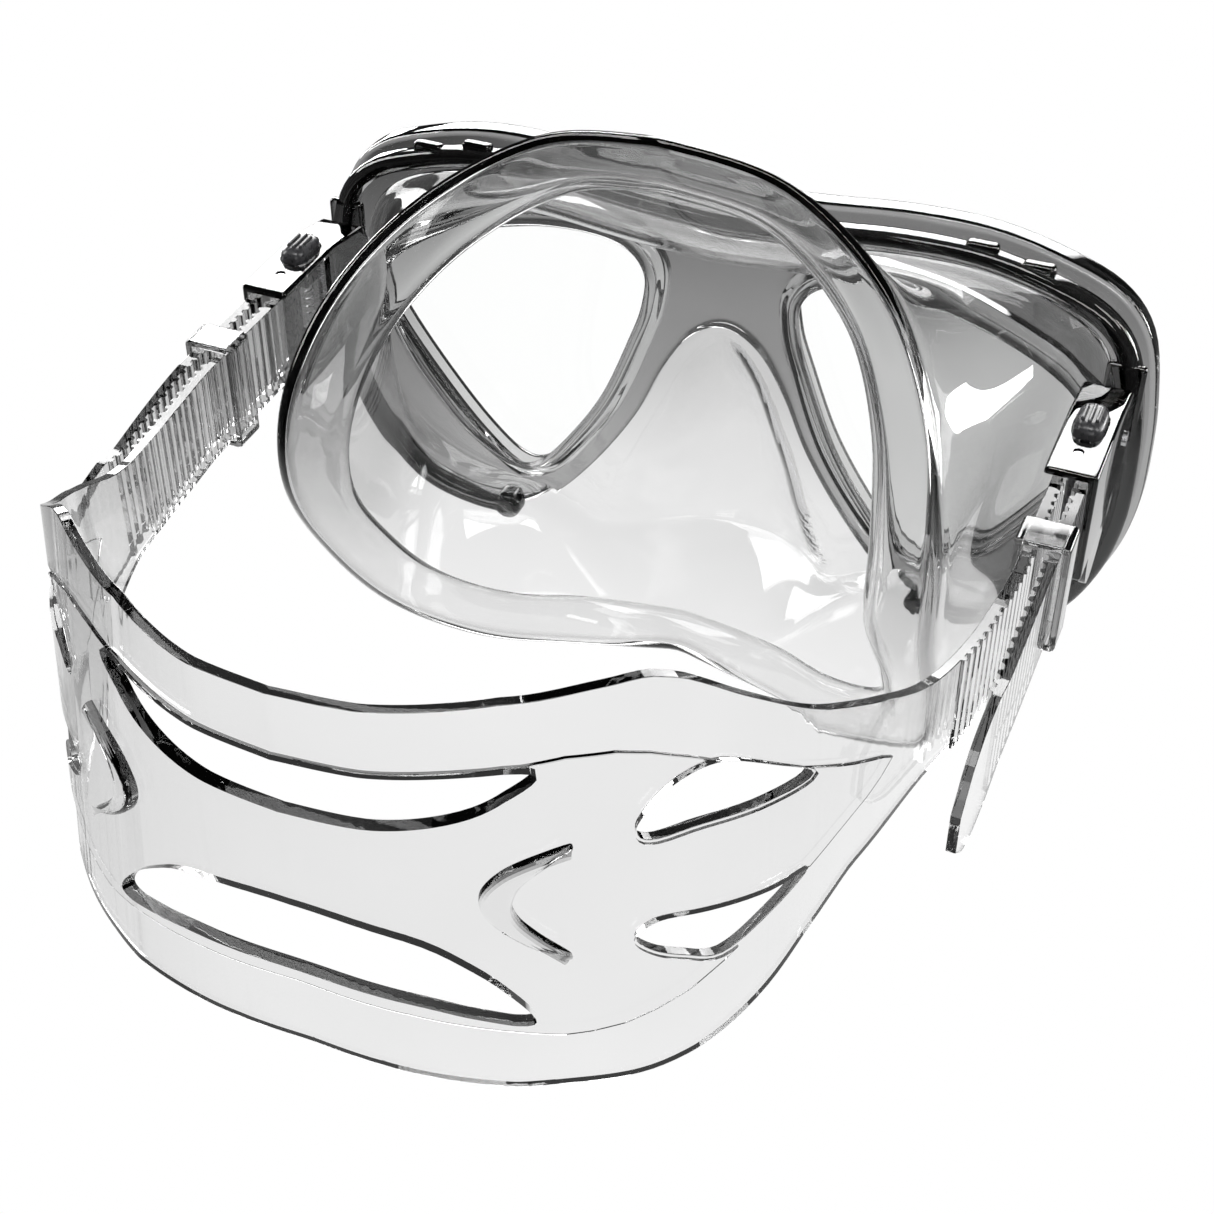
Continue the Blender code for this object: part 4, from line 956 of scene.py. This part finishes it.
def bend_strap(flat, path, lengths):
    """Slices the flat strap into narrow columns, raises its ribs and bends it onto the head path."""
    columns, ribs = strap_columns(path, lengths)
    bm = bmesh.new()
    bm.from_mesh(flat.data)
    bmesh.ops.dissolve_limit(
        bm, angle_limit=math.radians(0.5), use_dissolve_boundaries=False, verts=bm.verts, edges=bm.edges
    )
    bmesh.ops.bisect_plane(
        bm, geom=bm.verts[:] + bm.edges[:] + bm.faces[:], dist=SLICE_SNAP, plane_co=(0, 0, 0),
        plane_no=(1, 0, 0), clear_inner=True,
    )
    for s in columns:
        ahead = [face for face in bm.faces if max(v.co.x for v in face.verts) > s * MM]
        geom = set(ahead)
        for face in ahead:
            geom.update(face.edges)
            geom.update(face.verts)
        bmesh.ops.bisect_plane(
            bm, geom=list(geom), dist=SLICE_SNAP, plane_co=(s * MM, 0, 0), plane_no=(1, 0, 0)
        )
    bmesh.ops.remove_doubles(bm, verts=bm.verts, dist=SLICE_WELD)
    for vert in bm.verts:
        point = vert.co / MM
        if point.y > OUTER_FACE_FROM:
            point.y += rib_height(point.x, ribs)
        vert.co = bent(point, path, lengths) * MM
    bm.to_mesh(flat.data)
    bm.free()
    mirror = flat.modifiers.new("both_halves", "MIRROR")
    mirror.merge_threshold = 0.00001
    settle(flat)


def bent(point, path, lengths):
    """A point of the flat strap, (distance along, across, height), put on the head path."""
    sign = 1 if point.x >= 0 else -1
    s = min(abs(point.x), lengths[-1])
    low, high = 0, len(lengths) - 2
    while low < high:
        middle = (low + high) // 2
        if lengths[middle + 1] >= s - 1e-6:
            high = middle
        else:
            low = middle + 1
    k = low
    share = (s - lengths[k]) / (lengths[k + 1] - lengths[k])
    along_now = (path[k + 1] - path[k]).normalized()
    before = (path[k] - path[k - 1]).normalized() if k else Vector((along_now.x, -along_now.y))
    after = (path[k + 2] - path[k + 1]).normalized() if k + 2 < len(path) else along_now
    tangent = (before + along_now).lerp(along_now + after, share).normalized()
    out = Vector((-tangent.y, tangent.x))
    lean = straight_at(STRAP_LEAN, s) * (STRAP_LEAN_Z - point.z)
    spot = path[k].lerp(path[k + 1], share) + out * (point.y + lean)
    return Vector((sign * spot.x, spot.y, point.z))


# ---- buckles, buttons and keepers ----


def buckle_side_outline():
    """The buckle from the side as (y, z): a barrel round the hinge, a slope, then two level plates."""
    steps = 10
    barrel = []
    for i in range(steps + 1):
        angle = math.radians(140) + math.radians(80) * i / steps
        barrel.append((HINGE_Y + HINGE_BARREL_R * math.cos(angle), HINGE_BARREL_R * math.sin(angle)))
    upper = [(BUCKLE_END_Y, BUCKLE_HALF_HEIGHT)] + PLATE_PROFILE
    lower = [(y, -z) for y, z in reversed(upper)]
    return [(y, BUCKLE_Z + z) for y, z in upper + barrel + lower]


def oval(x, y, half_x, half_y, steps=48):
    """A rounded rectangle's outline, as a superellipse."""
    outline = []
    for i in range(steps):
        angle = 2 * math.pi * i / steps
        across, along = math.cos(angle), math.sin(angle)
        across = math.copysign(abs(across) ** OVAL_POWER, across)
        along = math.copysign(abs(along) ** OVAL_POWER, along)
        outline.append((x + half_x * across, y + half_y * along))
    return outline


def prism_along_z(name, outline, z_range):
    """A prism with its (x, y) outline carried across z_range."""
    bm = bmesh.new()
    rings = [[bm.verts.new((x * MM, y * MM, z * MM)) for x, y in outline] for z in z_range]
    for i in range(len(outline)):
        k = (i + 1) % len(outline)
        bm.faces.new((rings[0][i], rings[0][k], rings[1][k], rings[1][i]))
    bm.faces.new(rings[0])
    bm.faces.new(rings[1])
    return from_bmesh(bm, name)


def make_buckle(side, sign):
    low_x, high_x = sorted((sign * BUCKLE_X[0], sign * BUCKLE_X[1]))
    body = prism_along_x("buckle_" + side, buckle_side_outline(), (low_x, high_x), 0.7)
    shield_x = sorted((sign * (BUCKLE_X[1] - BUCKLE_WALL), sign * (BUCKLE_X[1] - SLIVER)))
    shield_outline = [tuple(p) for p in smooth_curve(BUCKLE_SHIELD, 4, closed=True)]
    join(body, prism_along_x("shield_" + side, shield_outline, shield_x))
    inner_half = BUCKLE_HALF_HEIGHT - BUCKLE_WALL
    cavity_front = ROLLER_Y - LOOP_R - STRAP_THICKNESS / 2 - GAP
    cut(body, block(
        "cavity", (low_x + BUCKLE_WALL, cavity_front, BUCKLE_Z - inner_half),
        (high_x - BUCKLE_WALL, BUCKLE_END_Y + OVERCUT, BUCKLE_Z + inner_half),
    ))
    inner_face = sign * BUCKLE_X[0]
    window_x = sorted((inner_face - sign * OVERCUT, inner_face + sign * (BUCKLE_WALL + 1)))
    cut(body, block(
        "side_window", (window_x[0], ROLLER_Y + 3, BUCKLE_Z - inner_half + SLIVER),
        (window_x[1], BUCKLE_END_Y + OVERCUT, BUCKLE_Z + inner_half - SLIVER),
    ))
    slot_x = sorted(sign * x for x in (LUG_X[0] - LUG_CLEARANCE, LUG_X[1] + LUG_CLEARANCE))
    slot_r = LUG_R + LUG_CLEARANCE
    slot_middle = sum(slot_x) / 2
    cut(body, rod("lug_room", (slot_middle, HINGE_Y, BUCKLE_Z), slot_r, slot_x[1] - slot_x[0], "X"))
    half_room = math.tan(math.radians(SLOT_HALF_ANGLE)) * HINGE_Y
    wedge = [(HINGE_Y, slot_r), (0.0, half_room), (0.0, -half_room), (HINGE_Y, -slot_r)]
    wedge = [(y, BUCKLE_Z + z) for y, z in wedge]
    cut(body, prism_along_x("lug_slot", wedge, slot_x))
    cut(body, rod("hinge_bore", ((low_x + high_x) / 2, HINGE_Y, BUCKLE_Z), HINGE_BORE_R, LONG / 3, "X"))
    for x, y in ((ROLLER_X, ROLLER_Y), (PAWL_X, PAWL_Y)):
        cut(body, rod("plate_bore", (sign * x, y, BUCKLE_Z), PLATE_BORE_R, LONG, "Z"))
    well = oval(sign * BUTTON_X, BUTTON_Y, BUTTON_SIZE[0] / 2 + GAP, BUTTON_SIZE[1] / 2 + GAP)
    cut(body, prism_along_z("button_well", well, (BUCKLE_Z - LONG / 2, BUCKLE_Z + LONG / 2)))
    finish_piece(body, "buckle_shell_" + side, BUCKLE, "buckle_" + side, ["buckle_body_" + side], 35.0)


def make_button(level, side, sign, up):
    """An oval cap with three grip ribs, sunk into its hole in the plate, on a stem into the buckle."""
    x = sign * BUTTON_X
    cap_low = BUCKLE_HALF_HEIGHT - CAP_SUNK
    cap_high = BUCKLE_HALF_HEIGHT + GAP + BUTTON_TRAVEL + BUTTON_PROUD
    half_x, half_y = BUTTON_SIZE[0] / 2, BUTTON_SIZE[1] / 2
    layers = [(0.0, cap_low - cap_high)] + CAP_DOME
    bm = bmesh.new()
    rings = []
    for inset, drop in layers:
        z = BUCKLE_Z + up * (cap_high + drop)
        outline = oval(x, BUTTON_Y, half_x - inset, half_y - inset)
        rings.append([bm.verts.new((px * MM, py * MM, z * MM)) for px, py in outline])
    for a, b in zip(rings, rings[1:]):
        for i in range(len(a)):
            k = (i + 1) % len(a)
            bm.faces.new((a[i], a[k], b[k], b[i]))
    bm.faces.new(rings[0])
    bm.faces.new(rings[-1])
    name = f"button_cap_{level}_{side}"
    cap = from_bmesh(bm, name)
    for i in (-1, 0, 1):
        z = sorted(BUCKLE_Z + up * (cap_high + h) for h in GRIP_RIB_Z)
        reach = half_y - GRIP_RIB_SHORTER - 0.5 * abs(i)
        rib_x = x + i * GRIP_RIB_PITCH
        low = (rib_x - GRIP_RIB_HALF, BUTTON_Y - reach, z[0])
        high = (rib_x + GRIP_RIB_HALF, BUTTON_Y + reach, z[1])
        join(cap, block("rib", low, high, 0.3, 3))
    z = sorted(BUCKLE_Z + up * value for value in (STEM_REACH, cap_low + 0.8))
    stem_x, stem_y = BUTTON_STEM[0] / 2, BUTTON_STEM[1] / 2
    low, high = (x - stem_x, BUTTON_Y - stem_y, z[0]), (x + stem_x, BUTTON_Y + stem_y, z[1])
    join(cap, block("stem", low, high))
    finish_piece(cap, name, SMOKE, f"{level}_button_{side}", [f"button_{level}_{side}"], 35.0)


def make_keeper(side, sign):
    """A clear rectangular loop round both runs of the strap."""
    half_x, half_z = KEEPER_OPENING
    centre = (sign * KEEPER_X, BUCKLE_Z)
    outer = rounded_rectangle(centre, half_x + KEEPER_WALL, half_z + KEEPER_WALL, 1.0)
    inner = rounded_rectangle(centre, half_x, half_z, 0.5)
    ring = plate("keeper_" + side, outer, KEEPER_Y, 0.35, [inner], steps=1, segments=2)
    finish_piece(ring, "keeper_loop_" + side, HARD, "loop_" + side, ["keeper_" + side], 35.0)


def dress_cad_nodes():
    """The small parts inside the buckles keep their CAD shapes and get their finishes."""
    for name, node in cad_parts.items():
        finish = None
        if any(word in name for word in ("pin", "roller", "spring")):
            finish = STEEL
        elif "pawl" in name:
            finish = SMOKE
        if finish:
            node.data.materials.clear()
            node.data.materials.append(finish)


# ---- stage, light and camera ----


def make_floor():
    """A white glowing floor, plain white to the camera; in the mask's reflections and refractions it shows a
    painted pool of light round the object, fading away from it, and painted shade in front of the mask.
    """
    bm = bmesh.new()
    bmesh.ops.create_grid(bm, x_segments=1, y_segments=1, size=FLOOR_HALF)
    floor = from_bmesh(bm, "floor")
    floor.location = (0, 0, (FLOOR_Z - ORIGIN.z) * MM)
    finish = bpy.data.materials.new("floor_white")
    finish.use_nodes = True
    graph = Graph(finish.node_tree)
    where = graph.node("ShaderNodeTexCoord").outputs["Object"]
    # Painted pool of light round the object, fading to dark further away.
    distance = graph.node("ShaderNodeVectorMath", {"operation": "DISTANCE"}, _0=where, _1=FLOOR_LIT_AT)
    away = distance.outputs["Value"]
    near = graph.spread(away, FLOOR_LIT_RADII[0], FLOOR_LIT_RADII[1], 1.0, FLOOR_FAR)
    # Painted shade on the floor in front of the mask.
    forward = graph.node("ShaderNodeSeparateXYZ", None, _0=where).outputs["Y"]
    shaded = graph.spread(forward, FLOOR_SHADE_Y[0], FLOOR_SHADE_Y[1], FLOOR_SHADE, 1.0)
    lit = graph.maths("MULTIPLY", near, shaded)
    is_camera = graph.node("ShaderNodeLightPath").outputs["Is Camera Ray"]
    strength = graph.maths("MAXIMUM", lit, is_camera)
    glow = graph.node("ShaderNodeEmission", None, Color=(1.0, 1.0, 1.0, 1.0), Strength=strength)
    graph.node("ShaderNodeOutputMaterial", None, Surface=glow.outputs[0])
    floor.data.materials.append(finish)


def make_world():
    """Dark studio with soft boxes for reflections; the camera itself sees plain white."""
    world = bpy.data.worlds.new("studio")
    bpy.context.scene.world = world
    world.use_nodes = True
    graph = Graph(world.node_tree)
    where = graph.node("ShaderNodeTexCoord").outputs["Generated"]
    total = AMBIENT
    for towards, half_width, half_height, roll, brightness in SOFTBOXES:
        axis = Vector(towards).normalized()
        side = axis.cross(Vector((0, 0, 1))).normalized()
        side.rotate(Matrix.Rotation(math.radians(roll), 3, axis))
        rise = side.cross(axis)
        dots = [graph.dot(where, direction) for direction in (axis, side, rise)]
        ahead = graph.maths("MAXIMUM", dots[0], 0.0001)
        inside = brightness
        for dot, half in ((dots[1], half_width), (dots[2], half_height)):
            away = graph.maths("ABSOLUTE", graph.maths("DIVIDE", dot, ahead))
            inside = graph.maths("MULTIPLY", inside, graph.spread(away, half * SOFTBOX_CORE, half, 1.0, 0.0))
        total = graph.maths("ADD", total, inside)
    lit = graph.node("ShaderNodeCombineColor", None, _0=total, _1=total, _2=total).outputs[0]
    studio = graph.node("ShaderNodeBackground", None, Color=lit)
    white = graph.node("ShaderNodeBackground", None, Color=(1.0, 1.0, 1.0, 1.0))
    is_camera = graph.node("ShaderNodeLightPath").outputs["Is Camera Ray"]
    mixed = graph.node("ShaderNodeMixShader", None, _0=is_camera, _1=studio.outputs[0], _2=white.outputs[0])
    graph.node("ShaderNodeOutputWorld", None, Surface=mixed.outputs[0])


def make_side_lights():
    """Long soft strips low beside the mask, for the slanting shines on the skirt's side walls."""
    for side, sign in (("left", 1), ("right", -1)):
        data = bpy.data.lights.new("strip_" + side, "AREA")
        data.shape = "RECTANGLE"
        data.size, data.size_y = STRIP_SIZE
        data.energy = STRIP_RADIANCE * math.pi * STRIP_SIZE[0] * STRIP_SIZE[1]
        strip = add_object("strip_" + side, data)
        target = Vector((sign * STRIP_AIM[0], STRIP_AIM[1], STRIP_AIM[2]))
        away = Vector((sign * STRIP_TOWARDS[0], STRIP_TOWARDS[1], STRIP_TOWARDS[2])).normalized()
        strip.location = target + away * STRIP_DISTANCE
        strip.rotation_mode = "QUATERNION"
        strip.rotation_quaternion = (-away).to_track_quat("-Z", "Y")
        strip.visible_camera = False


def make_camera():
    data = bpy.data.cameras.new("camera")
    camera = add_object("camera", data)
    data.sensor_width = CAMERA_SENSOR
    data.lens = CAMERA_LENS
    data.clip_start = 0.01
    camera.location = (CAMERA_TARGET + CAMERA_BACK * CAMERA_DISTANCE - ORIGIN) * MM
    camera.rotation_mode = "QUATERNION"
    camera.rotation_quaternion = (-CAMERA_BACK).to_track_quat("-Z", "Y")
    bpy.context.scene.camera = camera


make_bezel()
make_lenses()
make_hoop()
make_skirt()
make_strap()
for side, sign in (("left", 1), ("right", -1)):
    make_buckle(side, sign)
    make_button("upper", side, sign, 1)
    make_button("lower", side, sign, -1)
    make_keeper(side, sign)
dress_cad_nodes()
make_floor()
make_world()
make_side_lights()
make_camera()

scene = bpy.context.scene
scene.view_settings.view_transform = "Standard"
scene.cycles.max_bounces = 12
scene.cycles.transmission_bounces = 12
scene.cycles.glossy_bounces = 8
scene.cycles.sample_clamp_indirect = 4.0
scene.cycles.use_denoising = True
